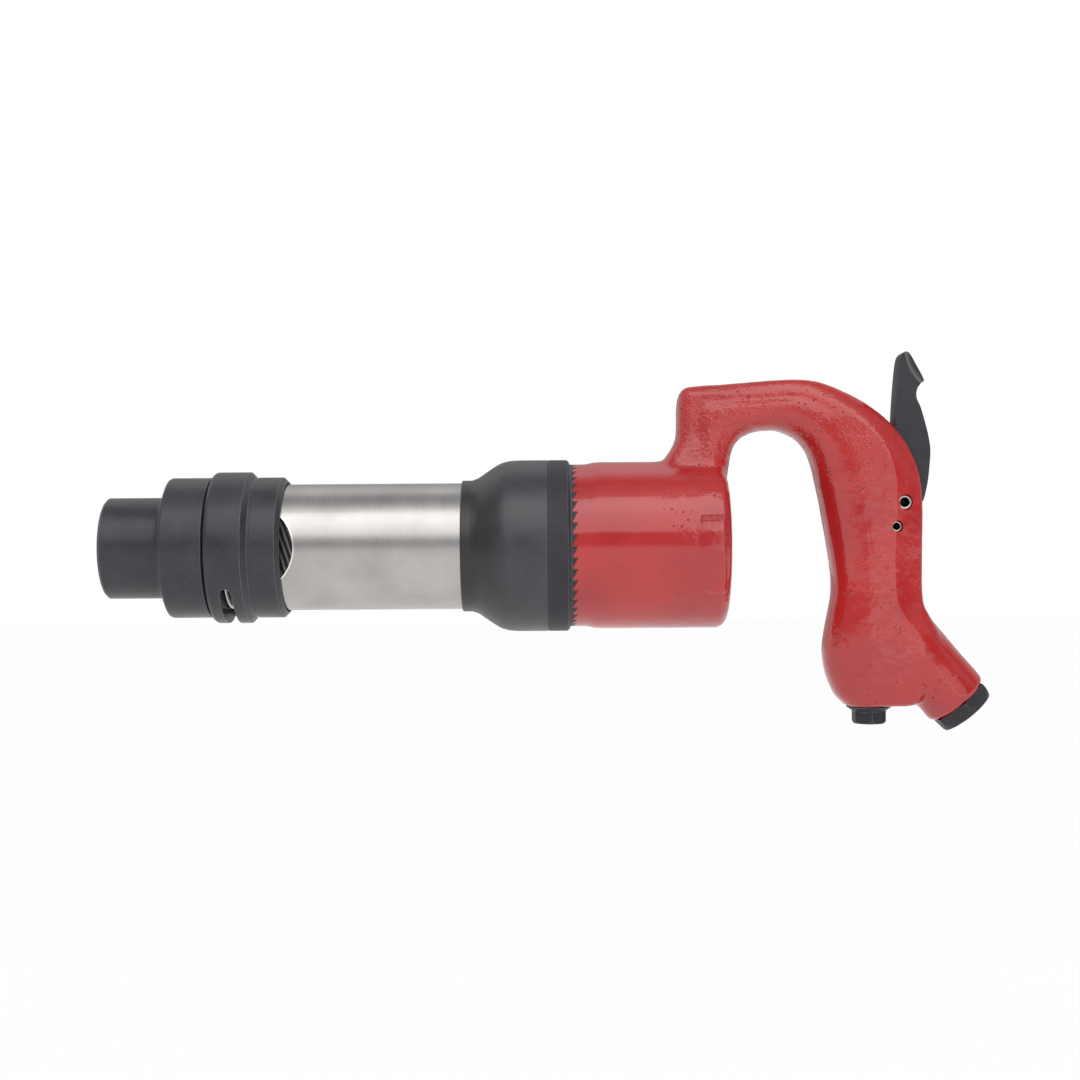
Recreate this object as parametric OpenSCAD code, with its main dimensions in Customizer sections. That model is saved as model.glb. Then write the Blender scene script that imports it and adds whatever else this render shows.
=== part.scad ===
// Pneumatic chipping hammer with an open D handle and an outside thumb lever.
// Origin: centre of the chisel socket's mouth. +X runs back along the barrel, +Z is up.

/* [Barrel] */
// Length of the barrel from the chisel bushing's mouth to the valve
barrel_len = 168; // [150:1:190]
// Outside diameter of the bright part of the barrel
barrel_d = 54; // [50:0.5:56]
// Diameter of the piston bore
bore_d = 28.6; // [24:0.1:30]
// Height of the step from the bright barrel down to its screwed front end
front_step = 3; // [2.5:0.25:4]
// Length of the screwed front end
front_thread_len = 14.5; // [12:0.5:16]
// Height of the step from the bright barrel up to its splined and screwed rear end
rear_step = 3; // [2:0.25:4]
// Radius of the cutter that milled the two wrench flats
flat_cutter_r = 17.6; // [12:0.1:19]
// Distance from the barrel's front face to the centre of each wrench flat
flat_x = 6.3; // [2:0.1:8]
// Depth of each wrench flat under the bright barrel
flat_depth = 4.25; // [3:0.05:5]
// Number of exhaust ports
exhaust_ports = 6; // [4:1:8]
// Diameter of each exhaust port
exhaust_port_d = 6; // [4:0.5:7]

/* [Chisel bushing] */
// Diameter of the bore for the chisel shank
shank_bore_d = 17.4; // [15:0.1:19]
// Outside diameter of the bushing
bushing_d = 34; // [30:0.5:36]
// Length of the bushing
bushing_len = 48; // [40:1:54]

/* [Piston] */
// Length of the piston
piston_len = 44; // [36:1:50]
// Running clearance of the piston on its radius
piston_clear = 0.05; // [0.03:0.01:0.08]
// Number of oil grooves round the piston
piston_grooves = 3; // [2:1:5]

/* [Valve] */
// Length of the front valve block
seat_block_len = 14; // [12:0.2:16]
// Length of the rear valve block
cap_block_len = 13.4; // [12.5:0.1:15]
// Thickness of the gasket behind the valve
valve_gasket_t = 0.8; // [0.5:0.1:1.2]
// Length of the dowels that line the valve blocks up
dowel_len = 12; // [8:0.5:16]
// Diameter of the valve shuttle's flange
shuttle_d = 22; // [20:0.2:24]
// Diameter of the valve shuttle's stem
shuttle_stem_d = 18; // [16:0.2:19]
// Running clearance of the valve shuttle on its radius
shuttle_clear = 0.06; // [0.04:0.01:0.09]
// Travel of the valve shuttle
shuttle_travel = 3; // [2:0.1:3.5]

/* [Retainer] */
// Diameter of the retainer's nose
nose_d = 43.2; // [40:0.2:46]
// Height of the turning sleeve over its spigot
sleeve_wall = 5; // [4:0.25:5.5]
// Distance from the barrel's front face to the front of the nose
nose_reach = 58.8; // [55:0.2:62]
// Length of the nose in front of the sleeve
nose_len = 27.2; // [25:0.2:30]
// Height of the collar's front part over its skirt
collar_proud = 2.3; // [1.5:0.1:3.5]
// Height of the collar's skirt over the bright barrel
skirt_wall = 3.05; // [2.5:0.05:3.5]
// Distance that the collar reaches in front of the barrel
collar_reach = 12.8; // [11.5:0.1:14]
// Length of the collar from front to rear
collar_len = 31.3; // [29:0.1:33]
// Gap between the turning sleeve and the collar
sleeve_gap = 0.6; // [0.4:0.1:1]
// Long way across the oval mouth
mouth_w = 33; // [31:0.5:34]
// Short way across the oval mouth
mouth_h = 24; // [22:0.5:26]
// Thickness of the wire that locks the sleeve in the collar
lock_wire_d = 2.2; // [1.8:0.1:2.4]
// Height of the spigot that turns in the collar over the barrel's screwed front end
spigot_step = 1; // [0.5:0.25:1.5]
// Thickness of the lip behind the oval mouth
lip_t = 7; // [5:0.5:9]
// Thickness of the rubber bumper behind the lip
bumper_t = 6; // [4:0.5:8]
// Diameter of the detent ball
detent_ball_d = 3; // [2.5:0.1:3]

/* [Lock ring and deflector] */
// Height of the lock ring over the barrel's rear thread
ring_wall = 6.65; // [6:0.05:8]
// Length of the lock ring in front of its teeth
ring_len = 9.1; // [8:0.1:11]
// Number of lock teeth
teeth = 45; // [36:1:60]
// Depth of the lock teeth
tooth_depth = 2.4; // [1.8:0.1:2.8]
// Height of the lock teeth's tops over the barrel's rear thread
tooth_wall = 4.75; // [4:0.05:5.25]
// Free run of the lock ring
ring_travel = 3.4; // [3:0.1:4]
// Length of the lock spring's room in front of the ring
spring_room = 13.9; // [12:0.1:14]
// Length of the rubber exhaust deflector
boot_len = 36.7; // [35:0.1:40]
// Height of the deflector's front lip over the bright barrel
boot_lip_t = 1.1; // [0.8:0.1:2]
// Wall thickness of the deflector
boot_wall = 2.4; // [2:0.1:2.8]

/* [Handle casting] */
// Depth of the casting's bore from the root of its teeth to the valve seat
cup_depth = 54.2; // [52:0.2:58]
// Thickness of the wall of the casting's cylinder over the barrel's rear thread
cup_wall = 5.7; // [5.25:0.05:7]
// Thickness of the wall behind the valve
cup_end = 9.4; // [8:0.2:11]
// Half width of the beam over the hand
beam_half = 13.2; // [12:0.1:15]
// Half width of the grip
grip_half = 16.3; // [15:0.1:18]
// Length of the inlet boss from its face back to the middle of the grip
boss_len = 32; // [28:0.5:36]
// Diameter of the inlet boss
boss_d = 28.6; // [27.5:0.1:31]
// Angle of the inlet boss from straight down
inlet_tilt = 40; // [38:1:42]

/* [Lever] */
// Thickness of the thumb lever
lever_t = 12; // [10:0.5:13]
// Swing of the lever when it is pressed, in degrees
lever_swing = 12; // [8:1:13]
// Diameter of the lever's pivot pin
pivot_d = 6.4; // [5.5:0.1:7]
// Diameter of the lower roll pin
lower_pin_d = 4.8; // [4:0.1:5.2]

/* [Throttle] */
// Diameter of the throttle valve's bore in the grip
throttle_bore_d = 17.3; // [16.5:0.1:17.8]
// Diameter of the throttle valve's stem
stem_d = 5; // [4:0.1:6]
// Diameter of the throttle valve's head
poppet_d = 12.6; // [11.5:0.1:13.5]
// Width across the flats of the throttle plug
plug_af = 13.2; // [11:0.1:14]
// Width across the flats of the inlet bushing
inlet_af = 24.1; // [22:0.1:26]
// Thickness of the inlet bushing's hexagon
inlet_hex_t = 6; // [5:0.1:8]
// Diameter of the inlet's female thread
inlet_thread_d = 14.6; // [12:0.1:15]
// Length of the inlet's female thread
inlet_thread_len = 18; // [15:0.5:20]

/* [Hidden] */

// Diameters that follow the bright barrel's
front_thread_d = barrel_d - 2 * front_step;
rear_thread_d = barrel_d + 2 * rear_step;
flat_floor = barrel_d / 2 - flat_depth;
spigot_d = front_thread_d + 2 * spigot_step;
sleeve_d = spigot_d + 2 * sleeve_wall;
skirt_d = barrel_d + 2 * skirt_wall;
collar_d = skirt_d + 2 * collar_proud;
ring_d = rear_thread_d + 2 * ring_wall;
tooth_d = rear_thread_d + 2 * tooth_wall;
cup_d = rear_thread_d + 2 * cup_wall;
boot_lip_d = barrel_d + 2 * boot_lip_t;

// Clearances: a fit between turned parts, a running fit on the radius, and a cut past a face
fit = 0.2;
run = 0.06;
over = 0.5;
// Play between two parts that touch face to face
play = 0.1;
// Plain and fine chamfers of the turned parts
chamfer = 1;
fine_chamfer = 0.5;
// Facets of round children that stay true circles
fine = 96;

// Stations along the barrel
rear_x = barrel_len;
seat_x = rear_x + seat_block_len + cap_block_len + valve_gasket_t;
cup_x = seat_x - cup_depth;
tip_x = cup_x - tooth_depth;
ring_x = tip_x - 0.6 - ring_len;
spline_x = ring_x - spring_room;
boot_x = ring_x - boot_len;
sleeve_rear = -collar_reach - sleeve_gap;
sleeve_x = -nose_reach + nose_len;
block_x = rear_x;
cap_x = rear_x + seat_block_len;
exhaust_x = boot_x + 16.5;
seal_x = cup_x + 8;
wire_x = -4.3;
// Play between the teeth of the lock ring and of the casting
tooth_gap = 0.15;

// Splines between the barrel and the lock ring
keys = 6;
key_w = 6;
key_depth = 1.8;
// Groove of the seal, its cord and the floor of the groove
seal_w = 2.6;
seal_d = 2;
seal_floor = rear_thread_d / 2 - seal_d - play;
// Washer of the lock spring, with the snap ring and its groove
washer_t = 1.3;
snap_w = 1.6;
snap_r = barrel_d / 2 - 1.5;
snap_x = spline_x - washer_t - snap_w - 0.3;
// Valve: radius of its blocks, room for the flange, air ports and dowels
valve_r = rear_thread_d / 2 - 0.6;
flange_room = 3.5;
cap_wall = 3;
port_ring_r = rear_thread_d / 2 - 8.5;
port_d = 3.2;
dowel_r = rear_thread_d / 2 - 4.5;
dowel_d = 3;
// Retainer: throat of the nose, room and floor of the lock wire's groove
throat_r = nose_d / 2 - 4;
wire_room = 2 * lock_wire_d + 1.2;
wire_floor = spigot_d / 2 - lock_wire_d / 2 - 0.3;
slot_from = -54;
slot_to = 22;
// Detent: circle of its four seats, the pocket of its spring and how deep the ball stands in it
raceway_r = (spigot_d / 2 + sleeve_d / 2) / 2;
detent_pocket = 9;
ball_sink = 0.9;
// Throttle plug's gasket, the inlet bushing's shank and the screen behind it
gasket_t = 0.8;
inlet_shank_r = inlet_thread_d / 2 + 2.9;
inlet_shank_len = inlet_thread_len - inlet_hex_t;
screen_r = inlet_thread_d / 2 - 1.2;

// Handle frame: x from the valve seat, z from the barrel's axis
boss_end = [109.1, -68];
boss_dir = [sin(inlet_tilt), -cos(inlet_tilt)];
pivot = [84.6, 17.3];
lower_pin = [80.8, 7.1];
valve_axis_x = 71;
foot_z = -69.3;
stem_top = 13.2;
bushing_top = 4.5;
throttle_seat_z = -14;
plug_top_z = -57;
hub_r = pivot_d / 2 + 3.8;
arm_r = 2.6;

// Smooth curve through points of any dimension, n steps between neighbours
function blend(a, b, c, d, t) =
    0.5 * (
        2 * b + (c - a) * t + (2 * a - 5 * b + 4 * c - d) * t * t + (3 * b - a - 3 * c + d) * t * t * t
    );
function smooth(p, n) = [
    for (i = [0:len(p) - 2], k = [0:n - 1])
        blend(p[max(i - 1, 0)], p[i], p[i + 1], p[min(i + 2, len(p) - 1)], k / n),
    p[len(p) - 1]
];
// Points of an arc from angle a to angle b
function arc(c, r, a, b, n) = [
    for (i = [0:n]) let (t = a + (b - a) * i / n) c + r * [cos(t), sin(t)]
];
// A point turned about the lever's pivot, as seen from the near side
function swung(p, a) = pivot + [
    (p.x - pivot.x) * cos(a) - (p.y - pivot.y) * sin(a),
    (p.x - pivot.x) * sin(a) + (p.y - pivot.y) * cos(a)
];

// A profile of [radius, x] points turned about the barrel's axis
module turned(profile) {
    rotate([0, 90, 0]) rotate_extrude($fn = fine) polygon(profile);
}

// A round bar on the barrel's axis from a to b
module bar_x(r, a, b) {
    translate([a, 0, 0]) rotate([0, 90, 0]) cylinder(r = r, h = b - a, $fn = fine);
}

// A tube on the barrel's axis from a to b
module tube_x(r_out, r_in, a, b) {
    difference() {
        bar_x(r_out, a, b);
        bar_x(r_in, a - over, b + over);
    }
}

// A round bar across the tool at p = [x, z]
module bar_y(r, p, half) {
    translate([p.x, half, p.y]) rotate([90, 0, 0]) cylinder(r = r, h = 2 * half, $fn = 48);
}

// A round bar in the tool's middle plane from p to q
module bar_xz(r, p, q) {
    d = q - p;
    translate([p.x, 0, p.y]) rotate([0, atan2(d.x, d.y), 0]) cylinder(r = r, h = norm(d), $fn = 64);
}

// A flat plate of outline points [x, z], t thick, in the tool's middle plane
module plate(outline, t) {
    rotate([90, 0, 0]) translate([0, 0, -t / 2]) linear_extrude(t) polygon(outline);
}

// Places its children on the inlet boss: z runs out of the boss, the face is at 0
module on_boss() {
    translate([boss_end.x, 0, boss_end.y]) rotate([0, atan2(boss_dir.x, boss_dir.y), 0]) children();
}

// One unbroken spring wire wound round the z axis: 6 sides, so many rings a turn
module coil(r, wire, length, turns, per_turn = 8) {
    sides = 6;
    rings = turns * per_turn;
    rise = length - wire;
    ring_points = [
        for (i = [0:rings], k = [0:sides - 1])
            let (
                a = 360 * i / per_turn,
                b = 360 * k / sides,
                q = r + wire / 2 * cos(b)
            ) [q * cos(a), q * sin(a), wire / 2 + rise * i / rings + wire / 2 * sin(b)]
    ];
    skin = [
        for (i = [0:rings - 1], k = [0:sides - 1])
            let (a = i * sides + k, b = i * sides + (k + 1) % sides) each
            [[a, b, a + sides], [b, b + sides, a + sides]]
    ];
    first = [for (k = [0:sides - 1]) sides - 1 - k];
    last = [for (k = [0:sides - 1]) rings * sides + k];
    echo(str("least gap between turns ", rise / turns - wire));
    polyhedron(ring_points, concat([first], skin, [last]), convexity = 10);
}

// A crown of teeth round the x axis: steps are [share of the pitch, x] from base_x
module crown(r_out, r_in, base_x, steps, count) {
    pitch = 360 / count;
    n = len(steps) * count;
    stations = [for (i = [0:count - 1], s = steps) [(i + s[0]) * pitch, s[1]]];
    corners = [
        for (s = stations) each [
            [base_x, r_in * cos(s[0]), r_in * sin(s[0])],
            [base_x, r_out * cos(s[0]), r_out * sin(s[0])],
            [s[1], r_out * cos(s[0]), r_out * sin(s[0])],
            [s[1], r_in * cos(s[0]), r_in * sin(s[0])]
        ]
    ];
    turn = base_x > steps[0][1] ? 1 : -1;
    walls = [
        for (i = [0:n - 1], k = [0:3])
            let (
                a = 4 * i + k,
                b = 4 * i + (k + 1) % 4,
                c = 4 * ((i + 1) % n) + (k + 1) % 4,
                d = 4 * ((i + 1) % n) + k
            ) each turn < 0 ? [[a, b, c], [a, c, d]] : [[a, c, b], [a, d, c]]
    ];
    polyhedron(corners, walls, convexity = 10);
}

// Barrel with its bore, wrench flats, exhaust ports, spline slots and threads' reliefs
module barrel() {
    rear_r = rear_thread_d / 2;
    cutter_len = 20;
    color("silver") difference() {
        turned([
            [bushing_d / 2, 0], [front_thread_d / 2 - chamfer, 0], [front_thread_d / 2, chamfer],
            [front_thread_d / 2, front_thread_len], [barrel_d / 2, front_thread_len + 0.3],
            [barrel_d / 2, snap_x], [snap_r, snap_x], [snap_r, snap_x + snap_w + 2 * play],
            [barrel_d / 2, snap_x + snap_w + 2 * play], [barrel_d / 2, spline_x],
            [rear_r - fine_chamfer, spline_x], [rear_r, spline_x + fine_chamfer],
            [rear_r, seal_x], [seal_floor, seal_x], [seal_floor, seal_x + seal_w],
            [rear_r, seal_x + seal_w], [rear_r, rear_x - chamfer], [rear_r - chamfer, rear_x],
            [bore_d / 2 + fine_chamfer, rear_x], [bore_d / 2, rear_x - fine_chamfer],
            [bore_d / 2, bushing_len], [bushing_d / 2, bushing_len]
        ]);
        for (side = [-1, 1])
            translate([flat_x, side * (flat_floor + cutter_len / 2), 0]) rotate([90, 0, 0])
                cylinder(r = flat_cutter_r, h = cutter_len, center = true, $fn = fine);
        for (i = [0:exhaust_ports - 1])
            translate([exhaust_x, 0, 0]) rotate([(i + 0.5) * 360 / exhaust_ports, 0, 0])
                cylinder(d = exhaust_port_d, h = barrel_d / 2 + 1, $fn = 32);
        for (i = [0:keys - 1])
            rotate([i * 360 / keys, 0, 0])
                translate([spline_x - over, -key_w / 2 - fit, rear_thread_d / 2 - key_depth])
                    cube([ring_x + ring_len + ring_travel - spline_x, key_w + 2 * fit, key_depth + over]);
    }
}

// Rubber ring that seals the barrel in the casting
module barrel_o_ring() {
    color("black") rotate([0, 90, 0]) translate([0, 0, seal_x + seal_w / 2]) rotate_extrude($fn = fine)
        translate([seal_floor + play / 2 + seal_d / 2, 0]) circle(d = seal_d, $fn = 24);
}

// Hardened bushing that guides the chisel shank
module chisel_bushing() {
    color("dimgray") turned([
        [shank_bore_d / 2, 0], [bushing_d / 2 - fine_chamfer, 0], [bushing_d / 2, fine_chamfer],
        [bushing_d / 2, bushing_len - fine_chamfer], [bushing_d / 2 - fine_chamfer, bushing_len],
        [shank_bore_d / 2, bushing_len]
    ]);
}

// Free piston with oil grooves, at rest against the valve
module piston() {
    r = bore_d / 2 - piston_clear;
    groove = 0.4;
    groove_half = 1;
    floor_half = 0.6;
    nose = 2;
    front = rear_x - 0.3 - piston_len;
    step = piston_len / (piston_grooves + 1);
    color("lightgray") turned(concat(
        [[0, front], [r - nose, front], [r, front + nose]],
        [for (i = [1:piston_grooves]) each [
            [r, front + i * step - groove_half], [r - groove, front + i * step - floor_half],
            [r - groove, front + i * step + floor_half], [r, front + i * step + groove_half]
        ]],
        [
            [r, front + piston_len - chamfer], [r - chamfer, front + piston_len],
            [0, front + piston_len]
        ]
    ));
}

// Air ports through a valve block from a to b
module air_ports(a, b) {
    for (i = [0:5])
        rotate([i * 60 + 30, 0, 0]) translate([a - over, 0, port_ring_r])
            rotate([0, 90, 0]) cylinder(d = port_d, h = b - a + 2 * over, $fn = 24);
}

// Front block of the valve, which seats on the barrel
module valve_seat_block() {
    color("gray") difference() {
        bar_x(valve_r, block_x, cap_x);
        bar_x(bore_d / 4, block_x - over, cap_x);
        bar_x(shuttle_d / 2, block_x + flange_room, cap_x + over);
        dowel_holes();
        air_ports(block_x, cap_x);
    }
}

// Bores for the dowels across both valve blocks
module dowel_holes() {
    for (side = [-1, 1])
        translate([cap_x - dowel_len / 2 - 1, side * dowel_r, 0]) rotate([0, 90, 0])
            cylinder(d = dowel_d + play, h = dowel_len + 2, $fn = 24);
}

// Rear block of the valve
module valve_cap_block() {
    back = cap_x + cap_block_len;
    color("gray") difference() {
        bar_x(valve_r, cap_x, back);
        bar_x(shuttle_stem_d / 2, cap_x - over, back - cap_wall);
        dowel_holes();
        air_ports(cap_x, back);
    }
}

// Stepped shuttle that steers the air to either end of the piston
module valve_shuttle() {
    wall = 4;
    rest = cap_x - 2 * play;
    flange = seat_block_len - flange_room - shuttle_travel - 0.9;
    stem_end = rest + cap_block_len - cap_wall - 2;
    color("goldenrod") difference() {
        union() {
            bar_x(shuttle_d / 2 - shuttle_clear, rest - flange, rest);
            bar_x(shuttle_stem_d / 2 - shuttle_clear, rest - 1, stem_end);
        }
        bar_x(shuttle_stem_d / 2 - wall, rest - flange - over, stem_end + over);
    }
}

// Two dowels that line the valve blocks up
module valve_dowels() {
    color("silver") for (side = [-1, 1])
        translate([cap_x - dowel_len / 2, side * dowel_r, 0]) rotate([0, 90, 0])
            cylinder(d = dowel_d, h = dowel_len, $fn = 24);
}

// Gasket between the valve and the casting
module valve_gasket() {
    air_way_r = 13;
    color("saddlebrown") tube_x(valve_r, air_way_r, seat_x - valve_gasket_t, seat_x);
}

// Toothed ring that locks the casting against unscrewing
module lock_ring() {
    r = ring_d / 2;
    inner = rear_thread_d / 2 + 0.3;
    back = ring_x + ring_len;
    gap = tooth_gap;
    root = tip_x - gap + 0.06;
    top = tip_x + tooth_depth * 0.9 / 0.96 - gap;
    color("darkslategray") union() {
        turned([
            [inner, ring_x], [r - 0.3, ring_x], [r, ring_x + 0.3],
            [r, back - chamfer], [r - chamfer, back],
            [tooth_d / 2, back], [tooth_d / 2, root], [inner, root]
        ]);
        crown(tooth_d / 2 - 0.05, inner + 0.2, tip_x - 2,
            [[0, tip_x - gap], [0.9, top], [0.96, tip_x - gap]], teeth);
        for (i = [0:keys - 1])
            rotate([i * 360 / keys, 0, 0])
                translate([ring_x + over, -key_w / 2, rear_thread_d / 2 - key_depth + fit])
                    cube([ring_len - 2 * over, key_w, key_depth + 0.6]);
    }
}

// Spring that presses the lock ring into mesh
module lock_spring() {
    wire = 1.8;
    room = 1.1;
    color("silver") translate([spline_x, 0, 0]) rotate([0, 90, 0])
        coil(rear_thread_d / 2 + room + wire / 2, wire, ring_x - spline_x - play, 3, 16);
}

// Flat washer under the lock spring
module spring_washer() {
    back = spline_x - play;
    color("silver") tube_x(rear_thread_d / 2 + 3, barrel_d / 2 + fit, back - washer_t, back);
}

// Snap ring that holds the lock spring's washer
module spring_snap_ring() {
    proud = 2.2;
    slit = 4;
    color("dimgray") difference() {
        tube_x(barrel_d / 2 + proud, snap_r + play, snap_x + play, snap_x + play + snap_w);
        translate([snap_x, -slit / 2, snap_r - over])
            cube([snap_w + 1, slit, barrel_d / 2 + proud - snap_r + 2 * over]);
    }
}

// Rubber deflector that turns the exhaust forwards
module exhaust_deflector() {
    r = ring_d / 2;
    lip = boot_lip_d / 2;
    outer = smooth([
        [lip, boot_x + 4.2], [lip + 1, boot_x + 6.9], [lip + 2.8, boot_x + 9.6],
        [lip + 5.4, boot_x + 13.4], [lip + 7.4, boot_x + 17], [r - 0.25, boot_x + 20.8], [r, boot_x + 25]
    ], 3);
    inner = smooth([
        [r - boot_wall, boot_x + 25], [r - boot_wall - 0.3, boot_x + 21], [lip + 5, boot_x + 17.5],
        [lip + 2.6, boot_x + 13], [barrel_d / 2 + 0.5, boot_x + 7.5]
    ], 3);
    color("darkslategray") turned(concat(
        [[barrel_d / 2 + 0.3, boot_x + 0.4], [lip - 0.4, boot_x], [lip, boot_x + 0.4]],
        outer,
        [[r, ring_x - 0.3], [r - 0.3, ring_x], [r - boot_wall, ring_x]],
        inner,
        [[barrel_d / 2 + 0.3, boot_x + 6.5]]
    ));
}

// Collar screwed on the barrel, with the slot for its lock wire
module retainer_collar() {
    r = collar_d / 2;
    s = skirt_d / 2;
    back = collar_len - collar_reach;
    step = 2.8;
    slope = 2.1;
    front_round = 2.4;
    back_slope = 1.9;
    front_bore = spigot_d / 2 + 0.3;
    back_bore = barrel_d / 2 + 0.6;
    screwed = front_thread_d / 2 + play;
    wire_depth = lock_wire_d / 2;
    track = 0.9;
    color("darkslategray") difference() {
        turned(concat(
            [[front_bore, -collar_reach], [s, -collar_reach]],
            arc([r - front_round, -collar_reach + front_round], front_round, -50, 0, 5),
            [
                [r, step], [s, step + slope], [s - 0.25, step + slope + 0.3],
                [s - 0.25, step + slope + 1.1], [s, step + slope + 1.5],
                [s, back - back_slope], [s - back_slope, back], [back_bore, back],
                [back_bore, front_thread_len - play], [screwed, front_thread_len - play],
                [screwed, -play], [front_bore, -play]
            ]
        ));
        tube_x(front_bore + wire_depth, spigot_d / 2, wire_x - wire_room / 2, wire_x + wire_room / 2);
        lock_slot();
        tube_x(raceway_r + track, raceway_r - track, -collar_reach - over, -collar_reach + 0.6);
        for (i = [0:3])
            rotate([i * 90, 0, 0]) translate([-collar_reach - sleeve_gap - 0.1, 0, -raceway_r])
                sphere(d = detent_ball_d + 0.3, $fn = 32);
    }
}

// Oblong slot round the lower near side of the collar
module lock_slot() {
    deep = collar_d / 2 - spigot_d / 2 + 1;
    width = wire_room - 0.3;
    rotate([0, 90, 0]) rotate([0, 0, slot_from]) rotate_extrude(angle = slot_to - slot_from, $fn = fine)
        translate([spigot_d / 2, wire_x - width / 2]) square([deep, width]);
    for (a = [slot_from, slot_to])
        rotate([0, 90, 0]) rotate([0, 0, a]) translate([spigot_d / 2, 0, wire_x]) rotate([0, 90, 0])
            rotate([0, 0, 50]) cylinder(d = 0.8 * width, h = deep, $fn = 32);
}

// Turning nose and sleeve, with the oval mouth that passes the chisel's collar
module retainer_nose() {
    n = nose_d / 2;
    s = sleeve_d / 2;
    g = spigot_d / 2;
    cove = 4;
    back = -fine_chamfer;
    cavity = g - 6.5;
    color("darkslategray") difference() {
        turned(concat(
            [[0, -nose_reach], [n - chamfer, -nose_reach], [n, -nose_reach + chamfer]],
            arc([n + cove, sleeve_x - cove], cove, 180, 90, 6),
            [
                [s - 1.2, sleeve_x], [s - 0.35, sleeve_x + 0.35], [s, sleeve_x + 1.2],
                [s, sleeve_rear - fine_chamfer], [s - fine_chamfer, sleeve_rear], [g, sleeve_rear],
                [g, wire_x - wire_room / 2], [wire_floor, wire_x - wire_room / 2],
                [wire_floor, wire_x + wire_room / 2], [g, wire_x + wire_room / 2],
                [g, back - fine_chamfer], [g - fine_chamfer, back], [0, back]
            ]
        ));
        bar_x(throat_r, -nose_reach + lip_t, sleeve_x);
        turned([
            [0, sleeve_x - 0.01], [throat_r, sleeve_x - 0.01], [cavity, sleeve_x + 2],
            [cavity, back + over], [0, back + over]
        ]);
        mouth(0);
        translate([sleeve_rear - detent_pocket, 0, -raceway_r]) rotate([0, 90, 0])
            cylinder(d = detent_ball_d + fit, h = detent_pocket + over, $fn = 32);
    }
}

// The oval mouth as a solid to cut away, smaller all round by a gap
module mouth(gap) {
    h = mouth_h / 2 - gap;
    span = (mouth_w - mouth_h) / 2;
    for (side = [-1, 1])
        translate([0, side * span, 0]) bar_x(h, -nose_reach - over, sleeve_x - 2);
    translate([-nose_reach - over, -span, -h]) cube([nose_len + over - 2, 2 * span, 2 * h]);
}

// Rubber bumper behind the lip of the mouth
module retainer_bumper() {
    front = -nose_reach + lip_t;
    color("black") difference() {
        bar_x(throat_r - play / 2, front, front + bumper_t);
        mouth(-0.3);
    }
}

// Two-turn wire that holds the sleeve in the collar and lets it turn
module retainer_lock_wire() {
    r = spigot_d / 2 + play;
    gap = lock_wire_d + 0.4;
    start = 30;
    color("white") union() {
        for (side = [-1, 1])
            rotate([0, 90, 0]) rotate([0, 0, start]) translate([0, 0, wire_x + side * gap / 2])
                rotate_extrude(angle = 336, $fn = fine)
                    translate([r, 0]) circle(d = lock_wire_d, $fn = 24);
        rotate([0, 90, 0]) rotate([0, 0, start]) translate([r, 0, wire_x - gap / 2])
            cylinder(d = lock_wire_d * 0.98, h = gap, $fn = 24);
    }
}

// Ball that clicks the sleeve into its locked and open places
module detent_ball() {
    color("white") translate([sleeve_rear - ball_sink, 0, -raceway_r])
        sphere(d = detent_ball_d, $fn = 32);
}

// Spring behind the detent ball
module detent_spring() {
    wire = 0.4;
    length = detent_pocket - ball_sink - detent_ball_d / 2 - 2 * play;
    color("silver") translate([sleeve_rear - detent_pocket + play, 0, -raceway_r]) rotate([0, 90, 0])
        coil(detent_ball_d / 2 - wire, wire, length, 5);
}

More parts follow.
